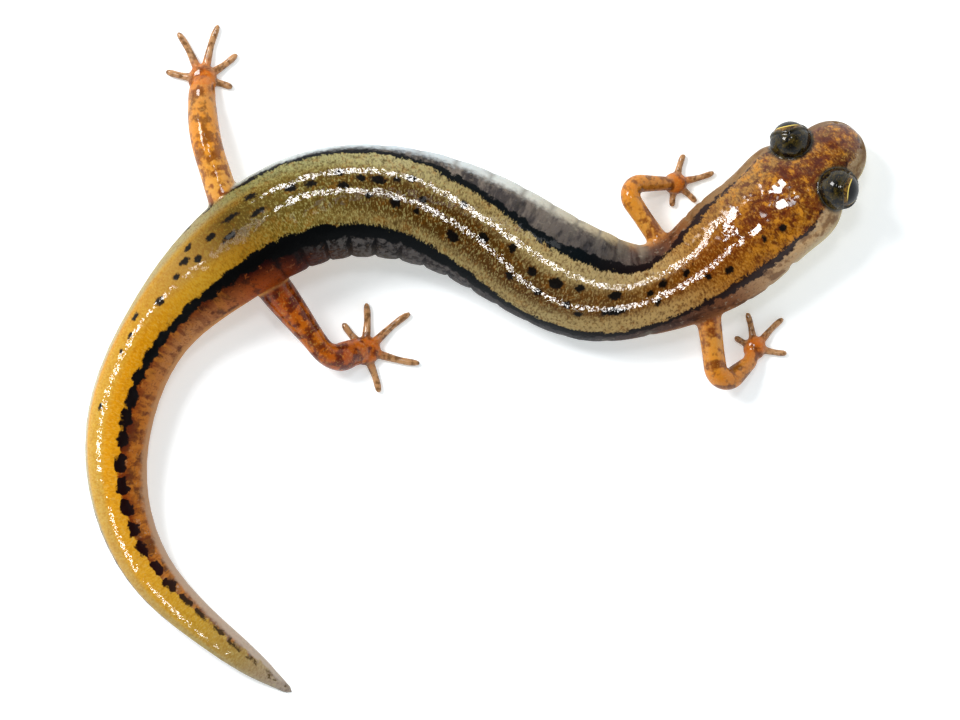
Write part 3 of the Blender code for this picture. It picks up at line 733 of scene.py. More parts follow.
# %% Join and remesh
VOXEL = 0.09
bm = bmesh.new()
for mesh in starts:
    bm.from_mesh(mesh)
joined = bpy.data.meshes.new("skin")
bm.to_mesh(joined)
bm.free()
skin = piece("salamander_skin", joined)
remesh = skin.modifiers.new("one_surface", "REMESH")
remesh.mode = "VOXEL"
remesh.voxel_size = VOXEL
solid = evaluated_mesh(skin)
skin.modifiers.clear()
skin.data = solid
for spare in (trunk, legs):
    bpy.data.objects.remove(spare)
print("one surface:", len(solid.vertices), "points")


# %% Ways to measure and move the skin
def edge_ends(mesh):
    ends = np.empty(len(mesh.edges) * 2, np.int32)
    mesh.edges.foreach_get("vertices", ends)
    return ends.reshape(-1, 2)


def toward_neighbours(points, ends, count):
    total = np.empty_like(points)
    for axis in range(3):
        total[:, axis] = (np.bincount(ends[:, 0], points[ends[:, 1], axis], len(points))
                          + np.bincount(ends[:, 1], points[ends[:, 0], axis], len(points)))
    return total / count[:, None] - points


def fade(value, low, high):
    """0 at low, 1 at high, smooth between; low may be the larger."""
    t = np.clip((value - low) / (high - low), 0, 1)
    return t * t * (3 - 2 * t)


def nearest_leg(points):
    """For each point: distance outside the nearest leg or toe, which it is, and the share along it."""
    gap, which, share = np.full(len(points), 9.0), np.full(len(points), -1), np.zeros(len(points))
    for number, (line, girth) in enumerate(lines):
        near = np.nonzero(((points > line.min(0) - 2.5) & (points < line.max(0) + 2.5)).all(1))[0]
        away = np.linalg.norm(points[near, None] - line[None], axis=2) - girth[None]
        closest = away.argmin(1)
        value = away.min(1)
        better = value < gap[near]
        gap[near[better]] = value[better]
        which[near[better]] = number
        share[near[better]] = closest[better] / (len(line) - 1)
    return gap, which, share


def eye_distance(points):
    """Distance from each point to the middle of the nearer eye."""
    return np.min([np.linalg.norm(points - eye["centre"], axis=1) for eye in eyes.values()], axis=0)


print("half way up a fade:", float(fade(0.5, 0, 1)))

# %% Smooth it without shrinking
SMOOTHING = 10
ROOT_SMOOTHING = 24
points = read_points(solid)
ends = edge_ends(solid)
count = np.bincount(ends.ravel(), minlength=len(points)).astype(float)
for _ in range(SMOOTHING):
    points += 0.5 * toward_neighbours(points, ends, count)
    points -= 0.52 * toward_neighbours(points, ends, count)
place, turn_at, side_at, up_at, outside = body_place(points)
near_leg, which_leg, leg_share = nearest_leg(points)
root = fade(near_leg, 1.1, 0.5) * fade(np.abs(outside), 1.1, 0.4)
for _ in range(ROOT_SMOOTHING):
    points += 0.5 * root[:, None] * toward_neighbours(points, ends, count)
eye_gap = eye_distance(points)
onto_rule = (fade(place, 1.6, 3.0) * fade(place, 87.0, 85.5) * fade(near_leg, 0.6, 1.3)
             * fade(eye_gap, 1.75, 2.2))
target = skin_point(place, turn_at)
points += onto_rule[:, None] * (target - points)
points[:, 2] = np.maximum(points[:, 2], 0)
write_points(solid, points)
print("on the body's rule:", int((onto_rule > 0.99).sum()), "of", len(points))

# %% [markdown]
# ## Folds, lips and nostrils
# On the real animal the flank is crossed by 14 costal grooves, one for each rib, the throat ends
# in a fold, and a thin line of mouth goes round the snout. They could be carved by hand, but they
# follow the body so closely that formulas of place push them in, along the skin's own direction.

# %% The rule of the folds
GROOVES = 18.8 + 2.22 * np.arange(14)
# depth, distance from the snout, half length, and the angles where the fold starts and is full
NECK_FOLDS = ((0.20, 9.55, 0.26, 74, 94), (0.07, 11.6, 0.22, 50, 80), (0.06, 13.2, 0.20, 40, 70))
JAW_ANGLE = 60


def hill(value, centre, width):
    """1 at the centre, falling away smoothly on both sides."""
    return np.exp(-((value - centre) / width) ** 2)


def on_flank(angle):
    """1 on the flank, falling to 0 on the back and the belly."""
    return np.exp(-((np.abs(angle) - 92) / 34) ** 4)


def fold_depth(place, angle, up):
    """How far the skin lies below the smooth rule, in millimetres."""
    turn = np.abs(angle)
    groove = sum(0.07 * hill(place, g, 0.17) + 0.06 * hill(place, g, 0.5) for g in GROOVES)
    deep = groove * on_flank(angle) * np.where(angle > 0, 0.45, 0.5 + 0.9 * fade(place, 24, 32))
    for depth_here, at, half_length, start, full in NECK_FOLDS:
        deep += depth_here * fade(turn, start, full) * hill(place, at, half_length)
    jaw = hill(turn, JAW_ANGLE - 2 * (place - 6), 5)
    deep += 0.07 * jaw * fade(place, 5.6, 6.6) * fade(place, 9.6, 8.8)
    lip = up - 0.30 * np.clip((place - 4.2) / 2.1, 0, 1) ** 2
    mouth = fade(place, 6.4, 5.4) * fade(turn, 40, 70)
    deep += mouth * (0.13 * hill(lip, 0, 0.075) - 0.04 * hill(lip, 0.24, 0.13) - 0.03 * hill(lip, -0.2, 0.1))
    return deep


print("costal grooves:", len(GROOVES), "last at mm:", round(float(GROOVES[-1]), 1))

# %% Push the folds and the nostrils
NOSTRIL_ALONG, NOSTRIL_SIDE, NOSTRIL_UP = 0.62, 1.22, 0.62
LIP_GROOVE_LENGTH = 0.62
normals = read_points(solid, "normal")
place, turn_at, side_at, up_at, outside = body_place(points)
deep = fold_depth(place, turn_at, up_at) * fade(near_leg, 0.3, 0.9) * fade(eye_gap, 1.5, 1.8)
snout, snout_left, snout_up = (v[0] for v in body_frame(np.array([NOSTRIL_ALONG])))
for sign in (1, -1):
    nostril = snout + snout_left * NOSTRIL_SIDE * sign + snout_up * NOSTRIL_UP
    nearest = points[np.linalg.norm(points - nostril, axis=1).argmin()]
    deep += 0.17 * hill(np.linalg.norm(points - nearest, axis=1), 0, 0.12)
    lip_point = nearest - snout_up * LIP_GROOVE_LENGTH
    share = np.clip(((points - nearest) @ (lip_point - nearest)) / LIP_GROOVE_LENGTH ** 2, 0, 1)
    line_gap = np.linalg.norm(points - nearest - share[:, None] * (lip_point - nearest), axis=1)
    deep += 0.05 * hill(line_gap, 0, 0.09)
points -= normals * deep[:, None]
print("deepest fold in mm:", round(float(deep.max()), 2))

# %% [markdown]
# ## The two shining ridges
# Two low muscle ridges run from the neck to the hips, one on each side of the spine. Their tops
# are narrow and nearly level, so they mirror the lamp as two thin bright lines. Along each line
# the skin is pressed towards the plane that faces the lamp, and left alone a little way off. One
# of the lines goes on along the tail, where nothing is raised and only the film of water shines.

# %% Raise the ridges
# distance from the snout and angle of each line, for the animal's left and right
SHINE = {
    1: (
        (6, 10), (9, 20), (12, 27), (14, 18), (18, 20), (20, 18), (22, 22), (25, 26), (28, 23), (32, 18),
        (34, 20), (37, 20), (42, 14), (44, 10), (50, 2)),
    -1: (
        (6, -13), (9, -8), (12, -2), (16, -5), (22, -5), (26, -6), (29, -2), (36, -2), (40, -5), (44, -8),
        (46, -14), (48, -20), (54, -18), (57, -12), (62, -14), (68, -18), (71, -30), (76, -38), (80, -46),
        (84, -52)),
}
FACING = np.array([-0.296, 0.240, 0.925])
RIDGE_WIDTH = 0.42
FAR = 9.0


def table_at(rows, value):
    return np.interp(value, [row[0] for row in rows], [row[1] for row in rows])


def ridge_gap(place, points):
    """Millimetres to the nearer ridge line, and the step from each point to that line's skin."""
    gap, step = np.full(len(points), FAR), np.zeros((len(points), 3))
    for rows in SHINE.values():
        to_line = skin_point(place, table_at(rows, place)) - points
        away = np.linalg.norm(to_line, axis=1) + np.clip(place - rows[-1][0], 0, FAR)
        nearer = away < gap
        gap[nearer] = away[nearer]
        step[nearer] = (to_line[nearer] @ FACING)[:, None] * FACING
    return gap, step


ridge_at, step = ridge_gap(place, points)
on_ridge = hill(ridge_at, 0, RIDGE_WIDTH) * fade(place, 9.5, 12.5) * fade(place, 48, 43)
points += on_ridge[:, None] * step
print("ridges raised by up to", round(float(np.abs(on_ridge[:, None] * step).max()), 2), "mm")

# %% [markdown]
# ## The lids
# A salamander's eye looks out between two fleshy lids. Here the dome over each eye is pressed in
# where the lids part, below the ball that fills it later, and a soft rim is raised round the gap.

# %% Open the lids
# half width and half height of the gap, in degrees seen from the middle of the eye
OPENING = (58.0, 47.0)
OPENING_DEPTH = 0.30


def eye_angles(eye, away):
    """Degrees forward and upward from the gaze, for directions from the eye's centre."""
    out = away @ eye["look"]
    aside = np.degrees(np.arctan2(away @ eye["fore"], out))
    above = np.degrees(np.arctan2(away @ eye["lifted"], out))
    return aside, above


for eye in eyes.values():
    away = points - eye["centre"]
    reach = np.linalg.norm(away, axis=1)
    aside, above = eye_angles(eye, away)
    share = np.hypot(aside / OPENING[0], above / OPENING[1])
    pressed = -OPENING_DEPTH * fade(share, 1.02, 0.94)
    change = pressed + 0.06 * hill(share, 1.10, 0.07) - 0.04 * hill(share, 1.32, 0.08)
    points += (away / reach[:, None]) * (change * fade(reach, 1.95, 1.65))[:, None]
points[:, 2] = np.maximum(points[:, 2], 0)
write_points(solid, points)
print("points on the skin:", len(points))

# %% [markdown]
# ## Black spots
# Two loose rows of black dots run along the back. A spot is a place on the body and a size, so
# the whole pattern is one short table, and the mesh stays fine where a spot will be painted.

# %% The table of spots
# distance from the snout, angle, half length and half width
SPOTS = (
    (8.5, -24, .26, .24), (9.9, -18, .18, .18), (13.1, -18, .3, .22), (14.5, -11, .2, .2),
    (15.7, 6, .26, .24), (17.5, 8, .3, .25), (18.5, 4, .2, .2), (18.1, -10, .22, .2), (20.9, 10, .44, .3),
    (20.9, -8, .7, .24), (22.9, -13, .22, .2), (23.3, 15, .3, .26), (23.7, -6, .22, .2),
    (24.9, 11, .48, .38), (25.7, -6, .22, .2), (26.7, 9, .35, .3), (27.9, -10, .28, .24),
    (28.7, 14, .3, .26), (30.8, 3, .36, .3), (32.9, -14, .5, .36), (33, 20, .3, .24), (35.7, 4, .22, .2),
    (35.9, -10, .24, .2), (36.7, 20, .28, .24), (37.5, -10, .4, .3), (37.6, 14, .22, .2),
    (38.8, 9, .5, .28), (39.4, -9, .22, .2), (39.9, 9, .28, .24), (41, 0, .36, .24), (41.2, 14, .26, .2),
    (43.1, 4, .34, .22), (44.3, 4, .4, .26), (46.7, 14, .4, .22), (46.8, -7, .5, .2), (48.5, 4, .5, .2),
    (49.3, -14, .5, .22), (50.3, 0, .32, .24), (51.9, 11, .28, .22), (51.9, -12, .28, .24),
    (52.7, -1, .36, .28), (53.8, -9, .24, .2), (55.7, -16, .32, .26), (57.5, 5, .28, .24),
    (58.7, -8, .18, .16), (59.9, -9, .16, .14), (63.7, -8, .2, .16),
)


def spot_distance(place, angle):
    """Millimetres outside the nearest spot's edge, at most 1."""
    girth = (half_width(place) + rise(place)) / 2
    found = np.full(len(place), 1.0)
    for along, turn, half_length, half_wide in SPOTS:
        run = (place - along) / half_length
        across = (angle - turn) * np.radians(1) * girth / half_wide
        found = np.minimum(found, (np.hypot(run, across) - 1) * min(half_length, half_wide))
    return found


spot_gap = spot_distance(place, turn_at)
print("spots:", len(SPOTS))

# %% [markdown]
# ## Fewer faces where nothing small happens
# The head, the feet, the ridges and the spots keep their fine mesh. The belly and flanks are
# collapsed to larger faces, and the whole skin stays below the limit of 200,000 triangles.

# %% Collapse the quiet parts
MOST_FACES = 194000
fine_head = fade(place, 12.0, 9.0) * (near_leg > 0.4)
on_shine = hill(ridge_at, 0, 0.35) * fade(place, 50, 44)
fine_mark = np.maximum(fade(spot_gap, 0.25, 0.1), on_shine) * (up_at > 0)
stays_fine = np.maximum(fine_head * fade(points[:, 2], 0.4, 1.2), 0.9 * fine_mark * (near_leg > 0.4))
coarse = 1 - 0.85 * stays_fine
coarse = np.where(near_leg < 0.3, np.where(which_leg < len(LIMBS), 0.6, 0.15), coarse)
loose = skin.vertex_groups.new(name="may_be_coarse")
for value in range(1, 11):
    members = np.nonzero(np.round(coarse * 10) == value)[0]
    loose.add(members.tolist(), value / 10, "REPLACE")
bpy.context.view_layer.update()
fewer = skin.modifiers.new("fewer_faces", "DECIMATE")
triangles = 2 * len(solid.polygons)
fewer.ratio = min(1.0, MOST_FACES / triangles)
fewer.vertex_group = "may_be_coarse"
fewer.vertex_group_factor = 1.0
final = evaluated_mesh(skin)
skin.modifiers.clear()
skin.vertex_groups.clear()
skin.data = final
final.calc_loop_triangles()
print("skin triangles:", triangles, "->", len(final.loop_triangles))

# %% [markdown]
# ## Where the markings lie
# The pattern of a two-lined salamander follows its body: a pale band along the back, a dark line
# down each side of it, a mottled flank and a yellow belly. So each point of the skin is given its
# distance from the edges of these marks, in millimetres. The finish turns those distances into
# crisp ragged edges at any closeness, which painting the points themselves could not.

# %% The tables of band and lines
# for the animal's left (1) and right (-1), by distance from the snout: the band's edge in degrees
BAND_EDGE = {
    1: (
        (0, 36), (6, 50), (9, 51), (12, 47), (14.5, 42), (16.5, 39), (18, 35), (20, 34), (22, 36.5),
        (24, 40.5), (26, 39.5), (28, 37), (30, 34.5), (32, 35), (34, 38.5), (37, 41), (40, 42), (44, 38),
        (48, 39), (52, 46), (60, 50), (67, 42), (71, 27), (75, 18), (79, 15), (84, 15), (88.6, 20)),
    -1: (
        (0, 34), (5, 38), (7.5, 47), (9, 45), (10.5, 40), (12, 34.5), (14, 34.5), (16, 36.5), (18, 40),
        (20, 40), (22, 36.5), (26, 37.5), (28, 39.5), (30, 39), (32, 36.5), (36, 36.5), (40, 39.5),
        (46, 42), (50, 44), (52, 48), (62, 49), (68, 49), (70, 50), (72, 54), (74, 60), (76, 66), (78, 73),
        (82, 80), (88.6, 84)),
}
# the dark line's width in millimetres
STRIPE_WIDTH = {
    1: (
        (0, 0), (6, 0.1), (10, 0.35), (12, 0.6), (14, 0.75), (16, 0.35), (18, 0.45), (20, 0.7), (22, 0.87),
        (25, 0.85), (28, 0.65), (31, 0.6), (36, 0.45), (44, 0.45), (48, 0.3), (52, 0), (64, -0.2),
        (69, 0.6), (72, 0.9), (80, 0.8), (85, 0.3), (88.6, 0)),
    -1: (
        (0, 0), (6, 0.2), (8, 0.35), (10, 0.55), (12, 0.72), (14, 0.55), (16, 0.35), (18, 0.5), (24, 0.72),
        (27, 0.6), (30, 0.95), (36, 1.0), (40, 1.1), (44, 1.5), (47, 1.4), (50, 0.95), (54, 0.8),
        (60, 0.76), (66, 0.78), (70, 0.84), (74, 0.7), (78, 0.5), (80, 0.3), (84, 0.15), (88.6, 0)),
}
# where the pale lower flank begins, in degrees from the middle of the back; on the left it begins higher,
# where the painted reflection on the wet skin begins
PALE_AND_SHEEN_FROM = {
    1: (
        (0, 105), (14, 100), (18, 84), (22, 78), (25, 82), (28, 74), (32, 62), (36, 57), (40, 54), (44, 45),
        (48, 45), (88.6, 50)),
    -1: (
        (0, 86), (6, 78), (11, 84), (15, 104), (24, 118), (46, 124), (54, 100), (80, 98), (88.6, 96)),
}


def by_side(table, place, angle):
    """The table's value for the side of the body that each point is on."""
    return np.where(angle > 0, table_at(table[1], place), table_at(table[-1], place))


def band_gap(place, angle):
    """Millimetres outside the edge of the band."""
    wide, high, low = oval(place)
    return (np.abs(angle) - by_side(BAND_EDGE, place, angle)) * np.radians(1) * (wide + high) / 2


tables = (BAND_EDGE, STRIPE_WIDTH, PALE_AND_SHEEN_FROM)
print("rows in the tables:", [len(rows) for table in tables for rows in table.values()])

# %% Measure the marks
# wet patches on the head that mirror the lamp: distance, angle, half length, half spread in degrees
GLINTS = ((10.8, 11, 1.9, 15), (7.0, 0, 1.5, 17))
GLINT_REACH = 0.16
points = read_points(final)
place, turn_at, side_at, up_at, outside = body_place(points)
near_leg, which_leg, leg_share = nearest_leg(points)
gap = band_gap(place, turn_at)
on_toe = which_leg >= len(LIMBS)
toe_owner = np.repeat(np.arange(len(LIMBS)), [len(spec["toes"]) for spec in LIMBS.values()])
owner = np.where(on_toe, toe_owner[np.clip(which_leg - len(LIMBS), 0, len(toe_owner) - 1)], which_leg)
ridge_at = ridge_gap(place, points)[0] + fade(place, 9.5, 7.5)
ridge_at += 0.12 * fade(place, 44, 48) - 0.09 * fade(place, 54, 60) + 0.3 * hill(place, 49, 2.6)
for at, turn, length, spread in GLINTS:
    shining = np.hypot((place - at) / length, (turn_at - turn) / spread)
    ridge_at = np.minimum(ridge_at, 0.55 * shining - GLINT_REACH)
# Where the pale belly begins, and on the left the painted reflection above it.
pale_and_sheen_from = by_side(PALE_AND_SHEEN_FROM, place, turn_at)

MARKS = {
    "along": place / BODY_LENGTH,
    "round": np.abs(turn_at) / 180,
    "left": fade(turn_at, -4, 4),
    "gap": gap,
    "under": gap - by_side(STRIPE_WIDTH, place, turn_at),
    "spot": spot_distance(place, turn_at),
    "ridge": ridge_at,
    "leg": fade(outside, 0.0, 0.35) * fade(near_leg, 0.9, 0.4),
    "red_leg": np.array([spec["red"] for spec in LIMBS.values()])[owner],
    "leg_along": np.where(on_toe, 1.0, leg_share),
    "toe": on_toe * fade(leg_share, 0.1, 0.5),
    "lid": fade(eye_distance(points), 1.8, 1.5),
    "groove": sum(hill(place, g, 0.16) for g in GROOVES) * on_flank(turn_at),
    "pale_and_sheen": fade(np.abs(turn_at), pale_and_sheen_from - 14, pale_and_sheen_from + 20),
}
for name, values in MARKS.items():
    store(final, name, values)
lie = np.stack([place, side_at, up_at], -1).astype(np.float32)
final.attributes.new("lie", "FLOAT_VECTOR", "POINT").data.foreach_set("vector", lie.ravel())
print("marks:", sorted(MARKS))

# %% [markdown]
# ## Paint that looks right under these lamps
# What one sees of a wet animal is its pigment, the light on it and the sheen of the water, all
# together. So each colour below is given as it should look, from 0 to 255, and a small rule takes
# the light and the sheen away again and leaves the paint. Ramps then run along body and legs.

# %% Mix paint by its look
LIGHT_LEVEL = 1.5
SHEEN = 0.009
LEAST_PAINT = 0.0003
along, around, leg_along = hide.number("along"), hide.number("round"), hide.number("leg_along")


def paint(red, green, blue):
    """A colour as seen on screen, from 0 to 255, as the linear light Blender mixes."""
    shares = [channel / 255 for channel in (red, green, blue)]
    return tuple(c / 12.92 if c <= 0.04 else ((c + 0.055) / 1.055) ** 2.4 for c in shares)


def seen(red, green, blue):
    """The paint that looks like this colour under the lamps here, with the sheen of the wet skin."""
    return tuple(max(channel - SHEEN, LEAST_PAINT) / LIGHT_LEVEL for channel in paint(red, green, blue))


def along_body(*rows):
    """Colours along the body: millimetres from the snout, then red, green and blue as seen."""
    return hide.ramp(along, [(place / BODY_LENGTH, seen(*colour)) for place, *colour in rows])


def share_along(*rows):
    """A share that changes along the body: millimetres from the snout, then the share."""
    return hide.ramp(along, [(place / BODY_LENGTH, (share,) * 3) for place, share in rows])


def along_leg(*rows):
    """Colours from the root of a leg, 0, to its foot, 1."""
    return hide.ramp(leg_along, [(share, seen(*colour)) for share, *colour in rows])


print("a mid grey needs paint of", round(seen(128, 128, 128)[0], 3))

# %% [markdown]
# ## Patterns of pigment
# Salamander skin is thin and slightly see-through, with its pigment in fine specks rather than
# flat patches. A painted image would blur when seen close. So each pattern is a noise field: four
# sizes of speck in the piece's own millimetres, and short strokes and bars that lie across the
# body, because they are drawn out on the body's own distances.

# %% Lay out the patterns
here, lie_at = hide.millimetres(), hide.vector("lie")
grain = hide.noise(here, 6.0, 2.0, 0.6)
speck = hide.noise(here, 2.6, 3.0, 0.6)
mottle = hide.noise(here, 1.7, 4.0, 0.65)
blotch = hide.noise(here, 0.9, 3.0, 0.55)
strokes = hide.noise(hide.stretch(lie_at, (1.35, 0.7, 0.7)), 6.0, 2.0, 0.6)
bars = hide.noise(hide.stretch(lie_at, (1.7, 0.5, 0.5)), 1.0, 3.0, 0.6)
left = hide.number("left")
right = hide.less(1.0, left)
groove = hide.number("groove")
on_head = hide.step(along, 0.16, 0.09)
on_tail = hide.step(along, 0.56, 0.64)
before_tail = hide.step(along, 0.60, 0.50)
calm_tail = hide.step(along, 0.52, 0.62, 1.0, 0.45)
print("patterns laid out, nodes so far:", len(hide.tree.nodes))

# %% [markdown]
# ## The band along the back
# Between the dark lines the back is a broad band, brown in the middle and tan beside it, greener
# on this animal's left, and orange on the tail. Ramps give these ground colours along the body.
# The rust and cream specks go over them as rows of one table, with the blotches of the head.

# %% Colour the band
middle = along_body(
    (0, 160, 100, 34), (4.5, 134, 74, 24), (9, 136, 72, 22), (14, 140, 76, 24), (20, 126, 86, 40),
    (26, 96, 66, 30), (33, 82, 54, 22), (39, 92, 66, 30), (45, 110, 92, 40), (49, 92, 68, 16),
    (53, 176, 134, 60), (58, 214, 158, 44), (66, 228, 178, 66), (74, 222, 176, 84), (82, 190, 166, 96),
    (88, 170, 156, 140))
aside = along_body(
    (0, 140, 102, 46), (4.5, 120, 76, 34), (8, 182, 114, 26), (14, 178, 116, 42), (18, 204, 168, 106),
    (24, 186, 162, 108), (32, 164, 142, 92), (39, 146, 124, 74), (45, 130, 110, 50), (49, 160, 114, 34),
    (53, 198, 150, 44), (59, 226, 154, 18), (68, 250, 174, 36), (75, 240, 176, 50), (80, 214, 166, 56),
    (84, 180, 150, 84), (88, 178, 162, 150))
olive = along_body(
    (0, 150, 110, 60), (14, 178, 128, 56), (20, 210, 182, 128), (26, 188, 166, 114), (32, 166, 144, 92),
    (38, 186, 176, 128), (43, 156, 152, 102), (47, 136, 134, 86), (51, 168, 158, 114), (57, 184, 170, 116),
    (63, 204, 204, 172), (69, 190, 186, 146), (74, 150, 146, 116), (82, 160, 158, 120), (88, 170, 160, 146))
rust = along_body(
    (0, 104, 52, 14), (12, 100, 48, 12), (22, 84, 52, 20), (36, 70, 48, 20), (48, 88, 70, 22),
    (56, 176, 104, 18), (75, 180, 112, 30), (88, 110, 84, 40))
cream = along_body(
    (0, 206, 160, 84), (12, 214, 152, 70), (24, 190, 172, 118), (44, 184, 178, 112), (49, 144, 122, 46),
    (58, 240, 200, 96), (88, 214, 204, 150))
to_right = hide.less(around, hide.times(right, hide.step(along, 0.24, 0.32, 0.0, 0.05)))
to_left = hide.plus(around, hide.step(along, 0.72, 0.80, 0.0, 0.05))
band = hide.mix(hide.step(to_right, 0.045, 0.135), middle, aside)
band = hide.layers(
    band,
    (to_left, 0.09, 0.17, 0.95, olive, left),
    (speck, 0.48, 0.70, 0.60, rust, calm_tail),
    (mottle, 0.52, 0.64, 0.40, seen(150, 92, 26), before_tail),
    (strokes, 0.49, 0.66, 0.60, rust, calm_tail),
    (strokes, 0.50, 0.34, 0.55, cream, calm_tail),
    (blotch, 0.50, 0.60, 0.60, seen(112, 46, 10), on_head),
    (mottle, 0.52, 0.60, 0.75, seen(84, 34, 8), on_head),
    (mottle, 0.47, 0.36, 0.80, seen(224, 150, 46), on_head),
)
print("band coloured, nodes so far:", len(hide.tree.nodes))

# %% [markdown]
# ## The flanks
# Below the dark line the flank is ashy and sooty on the trunk and brick red on the tail, and it
# pales towards the yellow belly. The left flank, which faces the lamp, is painted lighter as painted
# light, and below it a painted reflection lies over the pale belly. Along the costal grooves light
# and shade are painted: pale lines as painted glints where the folds would catch the light, and on
# the right flank behind the shoulder near-black folds as painted shade, with lighter grey specks on
# the bulging skin between them, partly speckled skin and partly painted light.

# %% Colour the flanks
upper = along_body(
    (0, 150, 124, 84), (7, 224, 186, 136), (11, 214, 172, 126), (14, 140, 86, 52), (17, 96, 64, 50),
    (22, 66, 64, 66), (32, 60, 56, 58), (38, 36, 34, 36), (45, 14, 12, 14), (50, 50, 20, 12),
    (55, 130, 64, 24), (64, 168, 80, 8), (74, 130, 52, 4), (80, 130, 92, 44), (88, 160, 146, 110))
lower = along_body(
    (0, 170, 146, 118), (7, 206, 190, 160), (12, 180, 142, 104), (15, 176, 112, 60), (18, 200, 132, 72),
    (22, 110, 98, 86), (30, 112, 106, 104), (34, 98, 92, 88), (40, 72, 60, 46), (46, 80, 32, 10),
    (50, 168, 76, 26), (56, 206, 140, 84), (64, 210, 124, 40), (74, 206, 124, 42), (82, 140, 108, 84),
    (88, 176, 164, 150))
# Ash colour: pale specks on the flank, and also the painted glints along the costal grooves.
ash_and_fold_glint = along_body(
    (0, 214, 196, 160), (10, 206, 184, 150), (22, 128, 120, 110), (40, 104, 94, 80), (50, 160, 84, 40),
    (64, 204, 132, 60), (88, 200, 190, 176))
soot = along_body(
    (0, 120, 80, 40), (10, 124, 80, 50), (14, 60, 34, 20), (24, 30, 32, 36), (48, 16, 8, 8),
    (64, 70, 28, 4), (80, 80, 52, 34), (88, 96, 84, 70))
belly = along_body(
    (0, 226, 206, 160), (30, 214, 196, 150), (50, 226, 156, 80), (64, 204, 148, 96), (88, 200, 186, 170))
# The colour below the left flank: the pale belly with a painted reflection, near-white blue-grey where the
# wet skin would mirror the bright room.
pale_and_sheen = along_body(
    (0, 226, 206, 170), (16, 214, 160, 100), (21, 206, 184, 140), (26, 206, 196, 172), (31, 226, 228, 220),
    (37, 214, 224, 228), (43, 226, 234, 234), (48, 206, 208, 190), (53, 180, 170, 120), (58, 184, 172, 126),
    (63, 206, 204, 180), (67, 196, 182, 142), (72, 190, 152, 104), (80, 176, 150, 120), (84, 168, 154, 136),
    (88, 190, 184, 170))
# Painted light: the left flank faces the lamp, so here it is painted lighter, broken up by the bars.
painted_light_left = share_along((16, 0), (20, 0.25), (26, 0.25), (31, 0.6), (35, 0.6), (40, 0.1), (44, 0))
painted_light_left = hide.times(left, painted_light_left)
flank = hide.layers(
    hide.mix(hide.step(around, 0.34, 0.50), upper, lower),
    (speck, 0.42, 0.32, 0.6, ash_and_fold_glint),
    (blotch, 0.50, 0.62, 0.7, soot),
    (grain, 0.54, 0.68, 0.5, soot),
)
flank = hide.mix(hide.times(painted_light_left, hide.step(bars, 0.38, 0.60, 0.1, 1.0)), flank, seen(166, 152, 138))
# Towards the belly the flank turns pale: belly colour on the right, belly with a painted reflection on the
# left.
to_belly_and_sheen = hide.scaled(hide.less(speck, 0.5), 0.8, hide.number("pale_and_sheen"))
# The right flank behind the shoulder, the shaded side: its folds are painted near black as painted shade, and
# lighter specks between them are painted light on the bulging skin.
shaded_fold_side = hide.times(hide.step(along, 0.30, 0.35), right)
before_hips = hide.step(along, 0.46, 0.53, 1.0, 0.0)
off_groove = hide.step(groove, 0.30, 0.04)
flank = hide.layers(
    flank,
    (bars, 0.49, 0.60, 0.55, seen(104, 42, 6), on_tail),
    (bars, 0.46, 0.36, 0.60, seen(214, 134, 50), on_tail),
    (along, 0.18, 0.13, 0.75, seen(120, 84, 44), left),
    (to_belly_and_sheen, 0.15, 0.85, 1.0, hide.mix(left, belly, pale_and_sheen)),
    (speck, 0.38, 0.58, 0.55, seen(126, 120, 116), off_groove, before_hips, shaded_fold_side),
)
# Painted glints and painted shade along the costal grooves: the folds take the ash colour as pale glint
# lines, and near black on the shaded right flank.
fold_shade_and_glint = hide.times(groove, hide.step(along, 0.24, 0.30, 0.9, 0.6))
flank = hide.mix(fold_shade_and_glint, flank, hide.mix(shaded_fold_side, ash_and_fold_glint, seen(6, 4, 4)))
print("flanks coloured, nodes so far:", len(hide.tree.nodes))

# %% [markdown]
# ## The dark lines and the dots
# The line that gives the species its name is solid on the trunk and breaks into beads along the
# tail. Its edges are ragged, as pigment cells leave them. The distance from the band's edge is
# shaken by noise before it is cut off, and a slow wave squeezes the line into beads on the tail.

# %% Draw the lines and dots
BEAD_SPACING = 1.6
FULL_WAVE = 6.283
SHARP_BEADS = 5.0
ink = along_body(
    (0, 60, 34, 18), (16, 40, 26, 22), (24, 26, 30, 32), (48, 8, 10, 12), (60, 20, 4, 2), (76, 44, 14, 2),
    (88, 100, 80, 50))
ragged = hide.scaled(hide.noise(hide.stretch(lie_at, (0.75, 1.0, 1.0)), 1.7, 3.0, 0.6), 1.0, -0.5)
combed = hide.times(hide.less(strokes, 0.5), hide.step(along, 0.52, 0.60, 0.6, 0.12))
edge = hide.plus(hide.plus(hide.number("gap"), ragged), combed)
low_edge = hide.plus(hide.number("under"), hide.scaled(hide.noise(here, 1.4, 3.0, 0.65), 1.3, -0.65))
wave = hide.scaled(along, FULL_WAVE * BODY_LENGTH / BEAD_SPACING, hide.times(blotch, 5.0))
beads = hide.maths("POWER", hide.scaled(hide.maths("COSINE", wave), 0.5, 0.5), SHARP_BEADS)
pinch = hide.plus(hide.step(along, 0.54, 0.62, 0.0, 0.1), hide.step(along, 0.72, 0.76, 0.0, 0.45))
squeeze = hide.times(beads, pinch)
line = hide.times(hide.step(hide.less(edge, squeeze), -0.08, 0.10),
                  hide.step(hide.plus(low_edge, squeeze), 0.10, -0.08))
dot_edge = hide.plus(hide.number("spot"), hide.scaled(hide.noise(here, 3.4, 3.0, 0.65), 0.5, -0.25))
colour = hide.mix(line, hide.mix(hide.step(edge, 0.10, 0.30), band, flank), ink)
colour = hide.layers(
    colour,
    (dot_edge, 0.12, -0.02, 0.50, seen(60, 36, 14)),
    (dot_edge, 0.06, -0.06, 0.97, seen(12, 8, 6)),
)
